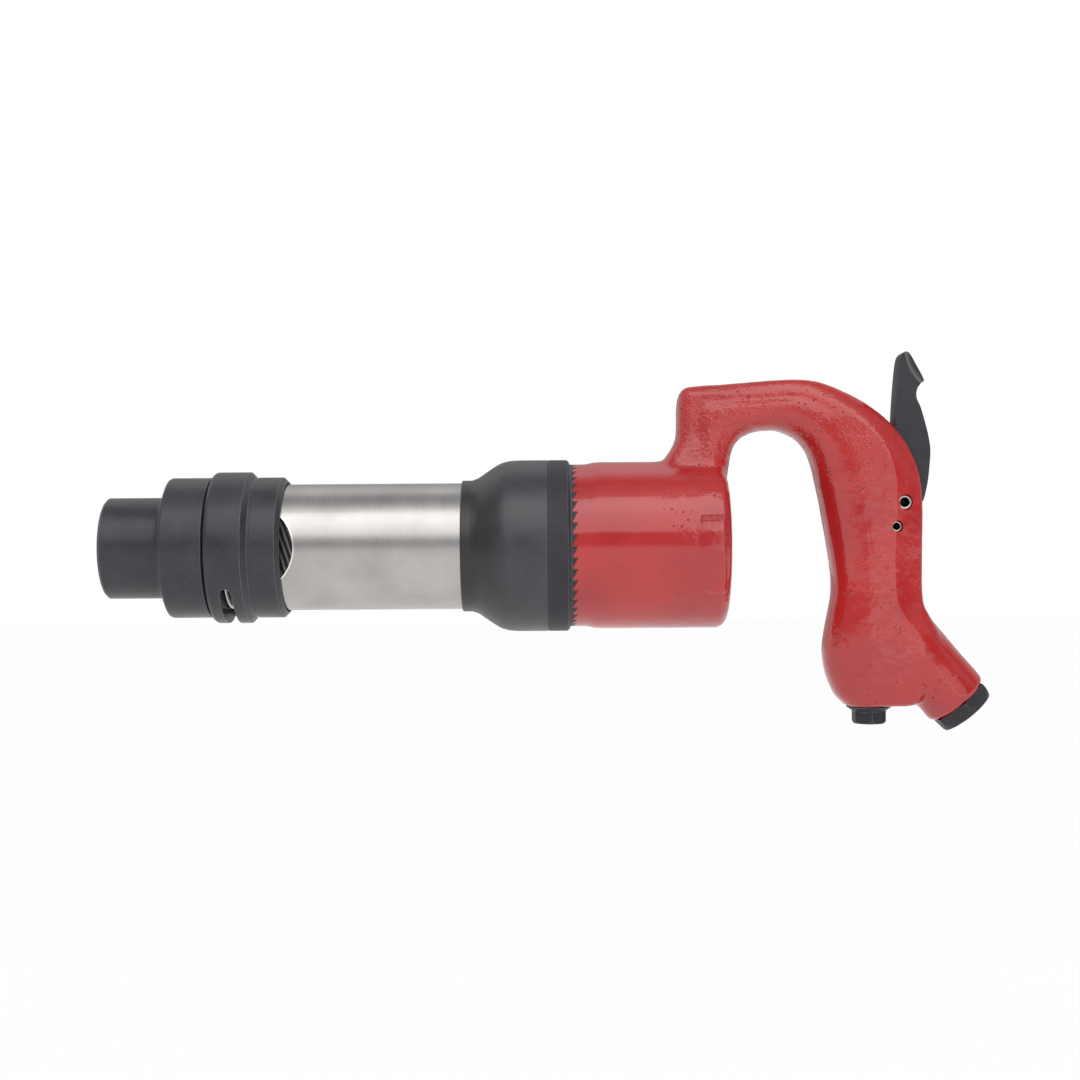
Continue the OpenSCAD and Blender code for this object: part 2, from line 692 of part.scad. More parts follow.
// Sections of the gooseneck and grip, from the cup round to the foot:
// outer x, outer z, inner x, inner z, half width, half width of the outer face, depth of its bevel
SECTIONS = [
    [-24, 20, 7, 8, beam_half + 13, beam_half + 8, 5],
    [-20, 32, 9.2, 21, beam_half + 6.5, beam_half + 1.5, 5],
    [-14.5, 38.5, 10.8, 30, beam_half + 2, beam_half - 3, 4.6],
    [-11.2, 44.5, 11.8, 36, beam_half + 0.4, beam_half - 4.2, 4.3],
    [-10.6, 52, 12.8, 40.5, beam_half, beam_half - 4.6, 4.3],
    [-10.4, 60, 14.2, 43, beam_half, beam_half - 4.6, 4.3],
    [-8.4, 66.2, 16.2, 45.2, beam_half, beam_half - 4.6, 4.3],
    [-2, 67.5, 18.5, 46.6, beam_half, beam_half - 4.6, 4.4],
    [9, 68.2, 21.5, 47.9, beam_half, beam_half - 4.6, 4.6],
    [24, 69.4, 26.5, 48.7, beam_half, beam_half - 4.6, 4.7],
    [39, 70.1, 31.5, 48.6, beam_half, beam_half - 4.6, 4.8],
    [49, 69, 36, 47.2, beam_half + 0.4, beam_half - 4.4, 5],
    [59, 65.2, 40.3, 44.8, beam_half + 1, beam_half - 4.2, 5.4],
    [68.7, 60, 43.6, 41.2, beam_half + 1.8, beam_half - 4, 6.2],
    [78, 52.8, 45.7, 37.2, grip_half - 0.7, grip_half - 7, 7],
    [85.3, 44.4, 47.3, 32, grip_half - 0.3, grip_half - 7, 8],
    [89.7, 36, 48.8, 25, grip_half, grip_half - 7, 9.4],
    [92.4, 27, 50.2, 18.5, grip_half, grip_half - 7, 11],
    [93.2, 15, 51.8, 9.5, grip_half, grip_half - 7, 12.4],
    [93, 0, 53.8, -2.5, grip_half, grip_half - 7, 13],
    [92.8, -12, 55.2, -13, grip_half, grip_half - 7, 13],
    [92.8, -20, 55.3, -20.5, grip_half, grip_half - 7, 13],
    [93.4, -26, 54.4, -27, grip_half + 0.1, grip_half - 7, 12.6],
    [95.8, -31, 52.6, -35.5, grip_half + 0.2, grip_half - 6.6, 12],
    [99.2, -36.5, 51.3, -43.5, grip_half + 0.2, grip_half - 6, 11],
    [100.5, -43, 51.4, -49, grip_half + 0.1, grip_half - 5, 10],
    [99.5, -51, 52.4, -55, grip_half, grip_half - 4.6, 9],
    [96, -59, 54.2, -60.5, grip_half - 0.2, grip_half - 4.4, 8],
    [93, -65, 56.8, -65.5, grip_half - 0.6, grip_half - 4.6, 6],
    [90.5, foot_z, 60.5, foot_z, grip_half - 1.6, grip_half - 6, 4]
];
section_steps = 2;
// Share of a section's depth where its round inner side begins
round_from = 0.62;

// Half of one section as [depth, half width] from the middle of its outer face to its inner edge
function half_section(v) =
    let (
        d = norm([v[0] - v[2], v[1] - v[3]]),
        w = v[4],
        e = v[5],
        c = v[6],
        hollow = 0.035 * w * max(0, min(1, (beam_half + 1.5 - w) / 1.5)),
        start = round_from * d
    ) concat(
        [[0, 0], [0, e * 0.62], [0.5, e], [c * 0.55, (e + w) / 2 + 0.5]],
        [[c, w - 0.5], [c + (start - c) * 0.4, w - hollow * 1.6], [c + (start - c) * 0.75, w - hollow * 0.2]],
        [for (k = [0:6]) let (a = k * 15) [start + (d - start) * pow(sin(a), 0.86), w * pow(cos(a), 0.86)]]
    );
// The whole section in space, from its six sizes
function ring_points(v) =
    let (
        h = half_section(v),
        n = len(h),
        d = norm([v[0] - v[2], v[1] - v[3]]),
        ux = (v[2] - v[0]) / d,
        uz = (v[3] - v[1]) / d
    ) concat(
        [for (k = [0:n - 1]) [v[0] + ux * h[k][0], h[k][1], v[1] + uz * h[k][0]]],
        [for (k = [n - 2:-1:1]) [v[0] + ux * h[k][0], -h[k][1], v[1] + uz * h[k][0]]]
    );

// Solid gooseneck, grip and foot
module gooseneck() {
    rows = [for (v = smooth(SECTIONS, section_steps)) ring_points(v)];
    n = len(rows[0]);
    m = len(rows);
    skin = [
        for (i = [0:m - 2], k = [0:n - 1])
            let (a = i * n + k, b = i * n + (k + 1) % n) each
            [[a, b, a + n], [b, b + n, a + n]]
    ];
    first = [for (k = [0:n - 1]) n - 1 - k];
    last = [for (k = [0:n - 1]) (m - 1) * n + k];
    polyhedron([for (row = rows) each row], concat([first], skin, [last]), convexity = 10);
}

// Outside of the cup that holds the valve and the barrel's rear end
module cup() {
    r = cup_d / 2;
    front = -cup_depth - 0.06;
    edge = 4;
    turned(concat(
        [[0, front], [tooth_d / 2, front], [tooth_d / 2, front + 3]],
        [[r - 0.3, front + 7], [r, front + 10]],
        arc([r - edge, cup_end - edge], edge, 0, 75, 6),
        [[r - 12, cup_end + 0.5], [0, cup_end + 0.8]]
    ));
}

// Low curved pad on the near side of the cup
module raised_pad() {
    r = cup_d / 2;
    pad_front = -3.5;
    pad_back = cup_end - 3.4;
    pad_low = -33;
    pad_high = 19;
    proud = 0.45;
    root = r - 3;
    slope = 0.25;
    rotate([0, 90, 0]) rotate([0, 0, -90 - pad_high])
        rotate_extrude(angle = pad_high - pad_low, $fn = fine) polygon([
            [root, pad_front], [r + proud - slope, pad_front], [r + proud, pad_front + slope],
            [r + proud, pad_back - slope], [r + proud - slope, pad_back], [root, pad_back]
        ]);
}

// Lever outline, handle frame: behind, over the tip, down the front and round the arm
LEVER_BACK = [
    [93.9, 18.4], [94.9, 22], [96.1, 28.5], [96.9, 38], [96.7, 42.4], [95.5, 48.6], [93.1, 57.4],
    [91.4, 61.4], [91.1, 63.4], [91.3, 65], [92, 66.7], [93.5, 68.3], [95.6, 69.4]
];
LEVER_PAD = [
    [96.4, 70.2], [95.9, 72.2], [95, 74.3], [93.7, 76.7], [91.9, 79.8], [90.6, 81.5], [89.3, 82.3]
];
LEVER_FRONT = [
    [87.6, 82.3], [85.9, 81.2], [84.9, 79.6], [84.3, 76.8], [83.6, 70.9], [82.8, 61.6], [82.1, 51.3],
    [81.2, 42], [79.4, 34], [76.6, 26.5], [72.8, 21.2]
];
function lever_outline() = concat(
    smooth(LEVER_BACK, 2),
    LEVER_PAD,
    smooth(LEVER_FRONT, 2),
    arc([valve_axis_x - 0.6, stem_top + 0.1 + arm_r], arm_r, 130, 270, 8),
    [[valve_axis_x + 3, stem_top + 0.1], [pivot.x - hub_r * 0.8, pivot.y - hub_r * 0.66]],
    arc(pivot, hub_r, 225, 320, 8),
    [[pivot.x + hub_r * 0.95, pivot.y - 3.2]]
);

// Thumb lever with its dished pad and the arm over the throttle valve
module throttle_lever() {
    dish_r = 22;
    dish = [107.4, -11.5, 83.5];
    color("dimgray") translate([seat_x, 0, 0]) difference() {
        plate(lever_outline(), lever_t);
        bar_y(pivot_d / 2 + run, pivot, lever_t);
        translate(dish) sphere(r = dish_r, $fn = fine);
    }
}

// Room for the lever and its arm through the whole swing
module lever_slot() {
    far = lever_swing + 3;
    width = lever_t + 1;
    room = 1;
    arm_front = valve_axis_x - arm_r - 3;
    arm_floor = stem_top - 4.4;
    plate(concat(
        [[104, 16], [104, 60], [swung([82.1, 56], far).x - room, 60]],
        [for (p = [[82.1, 51.3], [81.2, 42], [79.4, 34], [76.6, 26.5]]) swung(p, far) - [room, -0.3]],
        [[arm_front, stem_top + 10.5], [arm_front, arm_floor], [pivot.x + 2, arm_floor]],
        arc(pivot, hub_r + room, 290, 345, 6),
        [[93.6, 15.4]]
    ), width);
}

// Handle casting: cup, gooseneck, grip, foot and inlet boss, with all its bores
module handle_casting() {
    bore_r = rear_thread_d / 2 + fit;
    boss_round = 3;
    riser = [[64, -8], [52, 58]];
    crossing = [[54, 56.5], [0, 56.5]];
    drop = [[2, 59], [2, 24]];
    riser_r = 4;
    crossing_r = 3.5;
    air_way_len = 54;
    mouth_len = 2.5;
    pin_room = 0.02;
    color("firebrick") translate([seat_x, 0, 0]) difference() {
        union() {
            cup();
            crown(tooth_d / 2 - 0.05, bore_r - 0.4, -cup_depth + 2,
                [[0, -cup_depth - tooth_depth], [0.96, -cup_depth]], teeth);
            gooseneck();
            raised_pad();
            on_boss() {
                translate([0, 0, -boss_len])
                    cylinder(d = boss_d, h = boss_len - boss_round, $fn = fine);
                rotate_extrude($fn = fine) polygon(concat(
                    [[0, -boss_round - play], [boss_d / 2, -boss_round - play]],
                    arc([boss_d / 2 - boss_round, -boss_round], boss_round, 0, 80, 6),
                    [[0, 0]]
                ));
            }
        }
        bar_x(bore_r, -cup_depth - over, 0);
        bar_x(bore_r + 0.3, -cup_depth - over - tooth_depth, -cup_depth + mouth_len);
        lever_slot();
        bar_y(pivot_d / 2 + pin_room, pivot, 2 * grip_half);
        bar_y(lower_pin_d / 2 + pin_room, lower_pin, 2 * grip_half);
        translate([valve_axis_x, 0, foot_z - over])
            cylinder(d = throttle_bore_d, h = stem_top - 4 - foot_z + over, $fn = 64);
        on_boss() translate([0, 0, -inlet_shank_len - 1])
            cylinder(r = inlet_shank_r, h = inlet_shank_len + 1 + over, $fn = 64);
        on_boss() translate([0, 0, -air_way_len])
            cylinder(r = screen_r + 0.3, h = air_way_len, $fn = 48);
        bar_xz(riser_r, riser[0], riser[1]);
        bar_xz(crossing_r, crossing[0], crossing[1]);
        bar_xz(riser_r, drop[0], drop[1]);
    }
}

// Slotted spring pin across the tool, at p in the handle frame
module roll_pin(p, d, half) {
    wall = d * 0.19;
    slit = 0.8;
    translate([seat_x, 0, 0]) difference() {
        bar_y(d / 2, p, half);
        bar_y(d / 2 - wall, p, half + 1);
        translate([p.x, -half - 1, p.y - slit / 2]) cube([d, 2 * half + 2, slit]);
    }
}

// Pin that the lever turns on, sunk at both ends
module lever_pivot_pin() {
    sunk = 4.6;
    color("lightgray") roll_pin(pivot, pivot_d, grip_half - sunk);
}

// Pin that keeps the throttle bushing in place
module bushing_roll_pin() {
    sunk = 3.4;
    color("lightgray") roll_pin(lower_pin, lower_pin_d, grip_half - sunk);
}

// Bushing that guides the throttle valve and carries its seat
module throttle_bushing() {
    r = throttle_bore_d / 2 - play / 2;
    guide_r = stem_d / 2 + run;
    way_r = 5;
    waist_r = r - 1.6;
    waist_top = -2;
    waist_end = throttle_seat_z + 4;
    window_z = -7;
    window_d = 4;
    color("goldenrod") translate([seat_x + valve_axis_x, 0, 0]) difference() {
        rotate_extrude($fn = 64) polygon([
            [guide_r, bushing_top], [guide_r, waist_top], [way_r, waist_top - 2],
            [way_r, throttle_seat_z], [r, throttle_seat_z], [r, waist_end - 1], [waist_r, waist_end],
            [waist_r, waist_top - 1], [r, waist_top], [r, bushing_top - fine_chamfer],
            [r - fine_chamfer, bushing_top]
        ]);
        for (a = [0, 90])
            translate([0, 0, window_z]) rotate([90, 0, a])
                cylinder(d = window_d, h = 4 * r, center = true, $fn = 24);
    }
}

// Throttle valve: stem and head, pushed down by the lever
module throttle_valve() {
    seat = throttle_seat_z - play;
    head_t = 3;
    tail_r = 3.2;
    tail_z = seat - 7;
    neck_r = 1.8;
    neck_top = -3;
    color("lightgray") translate([seat_x + valve_axis_x, 0, 0]) rotate_extrude($fn = 64) polygon([
        [0, stem_top], [stem_d / 2 - chamfer, stem_top], [stem_d / 2, stem_top - chamfer],
        [stem_d / 2, neck_top], [neck_r, neck_top - 1], [neck_r, seat], [poppet_d / 2, seat],
        [poppet_d / 2, seat - head_t], [tail_r, seat - head_t - 1], [tail_r, tail_z], [0, tail_z]
    ]);
}

// Spring that closes the throttle valve
module throttle_spring() {
    wire = 1.1;
    coil_r = 4.4;
    bottom = plug_top_z + play;
    top = throttle_seat_z - 4;
    color("silver") translate([seat_x + valve_axis_x, 0, bottom])
        coil(coil_r, wire, top - bottom, 8);
}

// Plug that closes the throttle bore, with a hexagon for a wrench
module throttle_plug() {
    flange = 1.5;
    hex_bottom = -77.2;
    seat = foot_z - gasket_t;
    hex_r = plug_af / sqrt(3);
    r = throttle_bore_d / 2;
    pocket_d = 6.6;
    pocket_depth = 6;
    cone = 12;
    color("dimgray") translate([seat_x + valve_axis_x, 0, 0]) union() {
        difference() {
            rotate_extrude($fn = 64) polygon([
                [0, seat - 2 * flange], [plug_af / 2, seat - flange * 1.4], [r + 0.9, seat],
                [r - fit, seat], [r - fit, plug_top_z - chamfer],
                [r - fit - chamfer, plug_top_z], [0, plug_top_z]
            ]);
            translate([0, 0, plug_top_z - pocket_depth])
                cylinder(d = pocket_d, h = pocket_depth + over, $fn = 32);
        }
        intersection() {
            translate([0, 0, hex_bottom]) rotate([0, 0, 30])
                cylinder(r = hex_r, h = seat - flange - hex_bottom, $fn = 6);
            translate([0, 0, hex_bottom])
                cylinder(r1 = plug_af / 2 - 0.1, r2 = plug_af / 2 + cone, h = cone, $fn = 64);
        }
    }
}

// Washer under the throttle plug
module plug_gasket() {
    color("black") translate([seat_x + valve_axis_x, 0, foot_z - gasket_t]) difference() {
        cylinder(d = throttle_bore_d + 1.8, h = gasket_t, $fn = 64);
        translate([0, 0, -over])
            cylinder(d = throttle_bore_d - 0.3, h = gasket_t + 2 * over, $fn = 64);
    }
}

// Hexagon bushing that takes the air hose's fitting
module inlet_bushing() {
    hex_r = inlet_af / sqrt(3);
    cone = 12;
    color("dimgray") translate([seat_x, 0, 0]) on_boss() difference() {
        union() {
            intersection() {
                rotate([0, 0, 30]) cylinder(r = hex_r, h = inlet_hex_t, $fn = 6);
                translate([0, 0, -cone])
                    cylinder(r1 = hex_r + cone / 2, r2 = inlet_af / 2 + fit,
                        h = cone + inlet_hex_t, $fn = 64);
            }
            translate([0, 0, -inlet_shank_len])
                cylinder(r = inlet_shank_r - play, h = inlet_shank_len + over, $fn = 64);
        }
        translate([0, 0, -inlet_shank_len - over])
            cylinder(d = inlet_thread_d, h = inlet_thread_len + 2 * over, $fn = 64);
    }
}

// Strainer cup behind the inlet bushing
module inlet_screen() {
    length = 14;
    wall = 0.8;
    color("silver") translate([seat_x, 0, 0]) on_boss() difference() {
        union() {
            translate([0, 0, -inlet_shank_len - length]) cylinder(r = screen_r, h = length, $fn = 48);
            translate([0, 0, -inlet_shank_len - wall - play])
                cylinder(r = inlet_shank_r - 0.3, h = wall, $fn = 48);
        }
        translate([0, 0, -inlet_shank_len - length + wall])
            cylinder(r = screen_r - wall, h = length + 1, $fn = 48);
    }
}

handle_casting();
throttle_lever();
lever_pivot_pin();
bushing_roll_pin();
throttle_bushing();
throttle_valve();
throttle_spring();
throttle_plug();
plug_gasket();
inlet_bushing();
inlet_screen();
barrel();
barrel_o_ring();
chisel_bushing();
piston();
valve_seat_block();
valve_shuttle();
valve_cap_block();
valve_dowels();
valve_gasket();
lock_ring();
lock_spring();
spring_washer();
spring_snap_ring();
exhaust_deflector();
retainer_collar();
retainer_nose();
retainer_bumper();
retainer_lock_wire();
detent_ball();
detent_spring();
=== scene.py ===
"""Looks of a pneumatic chipping hammer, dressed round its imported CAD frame.

The tool lies along X with its chisel end towards -X, and its open D handle stands up along Z.
Every length is in metres unless its name ends in _mm.
"""

from __future__ import annotations

import logging
import math
from collections.abc import Callable
from dataclasses import dataclass
from enum import Enum

import bpy
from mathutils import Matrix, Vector

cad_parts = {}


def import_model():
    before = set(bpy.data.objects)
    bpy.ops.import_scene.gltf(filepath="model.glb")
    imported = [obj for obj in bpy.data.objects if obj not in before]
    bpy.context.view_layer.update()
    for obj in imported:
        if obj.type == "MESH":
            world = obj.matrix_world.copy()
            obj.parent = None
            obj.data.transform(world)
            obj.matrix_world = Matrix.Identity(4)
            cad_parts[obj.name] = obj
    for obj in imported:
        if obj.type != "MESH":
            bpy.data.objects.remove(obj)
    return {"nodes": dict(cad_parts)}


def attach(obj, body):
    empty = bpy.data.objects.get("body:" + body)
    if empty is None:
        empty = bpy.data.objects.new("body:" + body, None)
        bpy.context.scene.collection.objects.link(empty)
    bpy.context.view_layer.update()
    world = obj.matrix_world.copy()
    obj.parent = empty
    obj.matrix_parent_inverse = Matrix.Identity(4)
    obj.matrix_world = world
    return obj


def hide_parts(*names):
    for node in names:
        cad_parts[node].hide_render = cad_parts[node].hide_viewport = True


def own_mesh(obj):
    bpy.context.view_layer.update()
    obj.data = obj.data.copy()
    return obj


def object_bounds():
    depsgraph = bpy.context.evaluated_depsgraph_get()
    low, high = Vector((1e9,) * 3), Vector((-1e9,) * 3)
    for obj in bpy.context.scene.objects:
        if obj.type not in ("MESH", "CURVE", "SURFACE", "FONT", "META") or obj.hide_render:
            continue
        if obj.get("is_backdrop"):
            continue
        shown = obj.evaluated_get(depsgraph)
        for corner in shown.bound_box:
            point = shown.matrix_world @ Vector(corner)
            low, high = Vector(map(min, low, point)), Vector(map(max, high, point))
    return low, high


LOG = logging.getLogger("chipping_hammer")
MM = 0.001


def linear(code: str) -> tuple[float, float, float, float]:
    """Turns an sRGB hex colour into the linear values that a shader takes.

    Args:
        code: six hex digits after a #.

    Returns:
        Linear red, green and blue, and an alpha of 1.
    """
    parts = [int(code[i : i + 2], 16) / 255 for i in (1, 3, 5)]
    return (*[c / 12.92 if c <= 0.04045 else ((c + 0.055) / 1.055) ** 2.4 for c in parts], 1.0)


def add(
    tree: bpy.types.NodeTree,
    kind: str,
    inputs: dict[str | int, object] | None = None,
    stops: list[tuple[float, str]] | None = None,
    **settings: object,
) -> bpy.types.Node:
    """Adds one shader node with its links, its settings and the stops of its colour ramp.

    Args:
        tree: the node tree that takes it.
        kind: the node's type, without its ShaderNode prefix.
        inputs: a value or another node's output for each input.
        stops: the place and hex colour of each stop, for a colour ramp.
        settings: the node's own properties.

    Returns:
        The new node.
    """
    node = tree.nodes.new("ShaderNode" + kind)
    for key, value in settings.items():
        setattr(node, key, value)
    for key, value in (inputs or {}).items():
        if isinstance(value, bpy.types.NodeSocket):
            tree.links.new(value, node.inputs[key])
        else:
            node.inputs[key].default_value = value
    if stops:
        bar = node.color_ramp.elements
        while len(bar) < len(stops):
            bar.new(0.5)
        for element, (place, code) in zip(bar, stops):
            element.position = place
            element.color = linear(code)
    return node


def per(size_mm: float) -> float:
    """Gives the noise scale whose features measure about size_mm."""
    return 1 / (size_mm * MM)


@dataclass(frozen=True)
class Finish:
    """One finish, as its common name, its record slot and the values that its shader starts from."""

    name: str
    slot: str
    roughness: float
    metallic: float = 0.0

    def material(self) -> bpy.types.Material:
        """Gives the finish's material, made the first time it is asked for.

        Returns:
            The material.
        """
        made = bpy.data.materials.get(self.name)
        if made is None:
            made = bpy.data.materials.new(self.name)
            made.use_nodes = True
            tree = made.node_tree
            tree.nodes.clear()
            place = add(tree, "TexCoord").outputs["Object"]
            shader = add(tree, "BsdfPrincipled", {"Roughness": self.roughness, "Metallic": self.metallic})
            add(tree, "OutputMaterial", {"Surface": shader.outputs["BSDF"]})
            self.dress(tree, place, shader)
        return made

    def dress(self, tree: bpy.types.NodeTree, place: bpy.types.NodeSocket, shader: bpy.types.Node) -> None:
        """Adds the finish's own colour, roughness and relief.

        Args:
            tree: the material's node tree.
            place: the object coordinates.
            shader: the principled shader.
        """
        raise NotImplementedError

    def put_on(self, piece: bpy.types.Object) -> None:
        """Gives a piece this finish in place of whatever it had.

        Args:
            piece: the piece to dress.
        """
        piece.data.materials.clear()
        piece.data.materials.append(self.material())


@dataclass(frozen=True)
class CastEnamel(Finish):
    """Glossy red enamel on a sand casting: smooth where it was ground, sandy and pitted round the neck."""

    low: str = "#AB2226"
    high: str = "#B82A28"
    pit: str = "#6E1214"
    gleam: float = 0.78
    neck: tuple[float, float, float] = (0.206, 0.0, 0.048)
    neck_reach: float = 0.036
    ground_to: float = 0.178
    sand_from: float = 0.02
    patch_mm: float = 26.0
    cloud_mm: float = 13.0
    peel_mm: float = 7.0
    pit_mm: float = 2.3
    # Real sand grain is about 0.3 mm, drawn coarser so that it shows
    grain_mm: float = 1.2
    peel_depth_mm: float = 0.12
    sand_depth_mm: float = 0.4

    def dress(self, tree: bpy.types.NodeTree, place: bpy.types.NodeSocket, shader: bpy.types.Node) -> None:
        """Mixes two reds in soft patches, and lays orange peel, sand grain and pits under the gloss.

        Args:
            tree: the material's node tree.
            place: the object coordinates.
            shader: the principled shader.
        """
        patch = add(
            tree, "TexNoise", {"Vector": place, "Scale": per(self.patch_mm), "Detail": 2.0}
        ).outputs["Fac"]
        cloud = add(
            tree, "TexNoise",
            {"Vector": place, "Scale": per(self.cloud_mm), "Detail": 3.0, "Roughness": 0.55},
        ).outputs["Fac"]
        grain = add(
            tree, "TexNoise",
            {"Vector": place, "Scale": per(self.grain_mm), "Detail": 2.0, "Roughness": 0.5},
        ).outputs["Fac"]
        peel = add(
            tree, "TexNoise", {"Vector": place, "Scale": per(self.peel_mm), "Detail": 1.0}
        ).outputs["Fac"]
        # Sand shows round the neck, and in patches on the rest behind the ground front of the cup
        away = add(tree, "VectorMath", {0: place, 1: self.neck}, operation="DISTANCE").outputs["Value"]
        reach = {0: away, 1: self.neck_reach, 2: self.neck_reach * 0.6, 4: 0.7}
        near = add(tree, "MapRange", reach).outputs[0]
        parts = add(tree, "SeparateXYZ", {0: place}).outputs
        above = {0: parts["Z"], 1: self.sand_from, 2: self.sand_from + 0.02, 3: 0.04, 4: 0.45}
        high = add(tree, "MapRange", above).outputs[0]
        cloudy = add(tree, "MapRange", {0: cloud, 1: 0.46, 2: 0.62, 3: 0.04, 4: 0.5}).outputs[0]
        patchy = add(tree, "Math", {0: cloudy, 1: high}).outputs[0]
        behind = {0: parts["X"], 1: self.ground_to - 0.004, 2: self.ground_to + 0.006, 3: 0.05}
        cast = add(tree, "MapRange", behind).outputs[0]
        sum_of_both = add(tree, "Math", {0: near, 1: patchy}).outputs[0]
        sandy = add(tree, "Math", {0: sum_of_both, 1: cast}, operation="MULTIPLY").outputs[0]
        # Pits are the small hearts of random cells, where the cloud is thick
        cells = add(
            tree, "TexVoronoi", {"Vector": place, "Scale": per(self.pit_mm), "Randomness": 1.0}
        ).outputs["Distance"]
        holes = add(tree, "MapRange", {0: cells, 1: 0.1, 2: 0.26, 3: 1.0, 4: 0.0}).outputs[0]
        thick = add(tree, "MapRange", {0: cloud, 1: 0.5, 2: 0.58}).outputs[0]
        pitted = add(tree, "Math", {0: thick, 1: cast}, operation="MULTIPLY").outputs[0]
        pits = add(tree, "Math", {0: holes, 1: pitted}, operation="MULTIPLY").outputs[0]
        red = add(tree, "ValToRGB", {"Fac": patch}, [(0.35, self.low), (0.65, self.high)]).outputs["Color"]
        deep = add(
            tree, "Mix", {"Factor": pits, "A": red, "B": linear(self.pit)}, data_type="RGBA"
        ).outputs["Result"]
        tree.links.new(deep, shader.inputs["Base Color"])
        soft = {0: cloud, 1: 0.4, 2: 0.66, 3: self.roughness, 4: self.roughness + 0.06}
        tree.links.new(add(tree, "MapRange", soft).outputs[0], shader.inputs["Roughness"])
        shader.inputs["Specular IOR Level"].default_value = self.gleam
        sand = add(tree, "Math", {0: grain, 1: sandy, 2: pits}, operation="MULTIPLY_ADD").outputs[0]
        rolled = add(
            tree, "Bump", {"Height": peel, "Strength": 0.2, "Distance": self.peel_depth_mm * MM}
        ).outputs["Normal"]
        relief = {"Height": sand, "Strength": 0.7, "Distance": self.sand_depth_mm * MM, "Normal": rolled}
        tree.links.new(add(tree, "Bump", relief).outputs["Normal"], shader.inputs["Normal"])


@dataclass(frozen=True)
class TurnedSteel(Finish):
    """Bare steel turned and polished round the axis: fine rings, a soft sheen along them."""

    dark: str = "#9C9894"
    light: str = "#CFCBC7"
    ring_mm: float = 0.22
    depth_mm: float = 0.003
    ring_share: float = 0.2
    ring_run_mm: float = 30.0
    stain_mm: float = 18.0

    def dress(self, tree: bpy.types.NodeTree, place: bpy.types.NodeSocket, shader: bpy.types.Node) -> None:
        """Draws fine rings round the axis by stretching noise, coarser than real so that they show.

        Args:
            tree: the material's node tree.
            place: the object coordinates.
            shader: the principled shader.
        """
        stretch = (per(self.ring_mm), per(self.ring_run_mm), per(self.ring_run_mm))
        squeeze = add(tree, "Mapping", {"Vector": place, "Scale": stretch}).outputs["Vector"]
        rings = add(
            tree, "TexNoise", {"Vector": squeeze, "Scale": 1.0, "Detail": 3.0, "Roughness": 0.7}
        ).outputs["Fac"]
        stain = add(
            tree, "TexNoise", {"Vector": place, "Scale": per(self.stain_mm), "Detail": 3.0}
        ).outputs["Fac"]
        stained = add(tree, "MapRange", {0: stain, 1: 0.3, 2: 0.7, 3: 0.15, 4: 0.55}).outputs[0]
        mixed = add(
            tree, "Math", {0: rings, 1: self.ring_share, 2: stained}, operation="MULTIPLY_ADD"
        ).outputs[0]
        steel = add(tree, "ValToRGB", {"Fac": mixed}, [(0.2, self.dark), (0.8, self.light)])
        tree.links.new(steel.outputs["Color"], shader.inputs["Base Color"])
        shine = {0: rings, 1: 0.3, 2: 0.7, 3: self.roughness - 0.04, 4: self.roughness + 0.04}
        tree.links.new(add(tree, "MapRange", shine).outputs[0], shader.inputs["Roughness"])
        bump = add(tree, "Bump", {"Height": rings, "Strength": 0.1, "Distance": self.depth_mm * MM})
        tree.links.new(bump.outputs["Normal"], shader.inputs["Normal"])


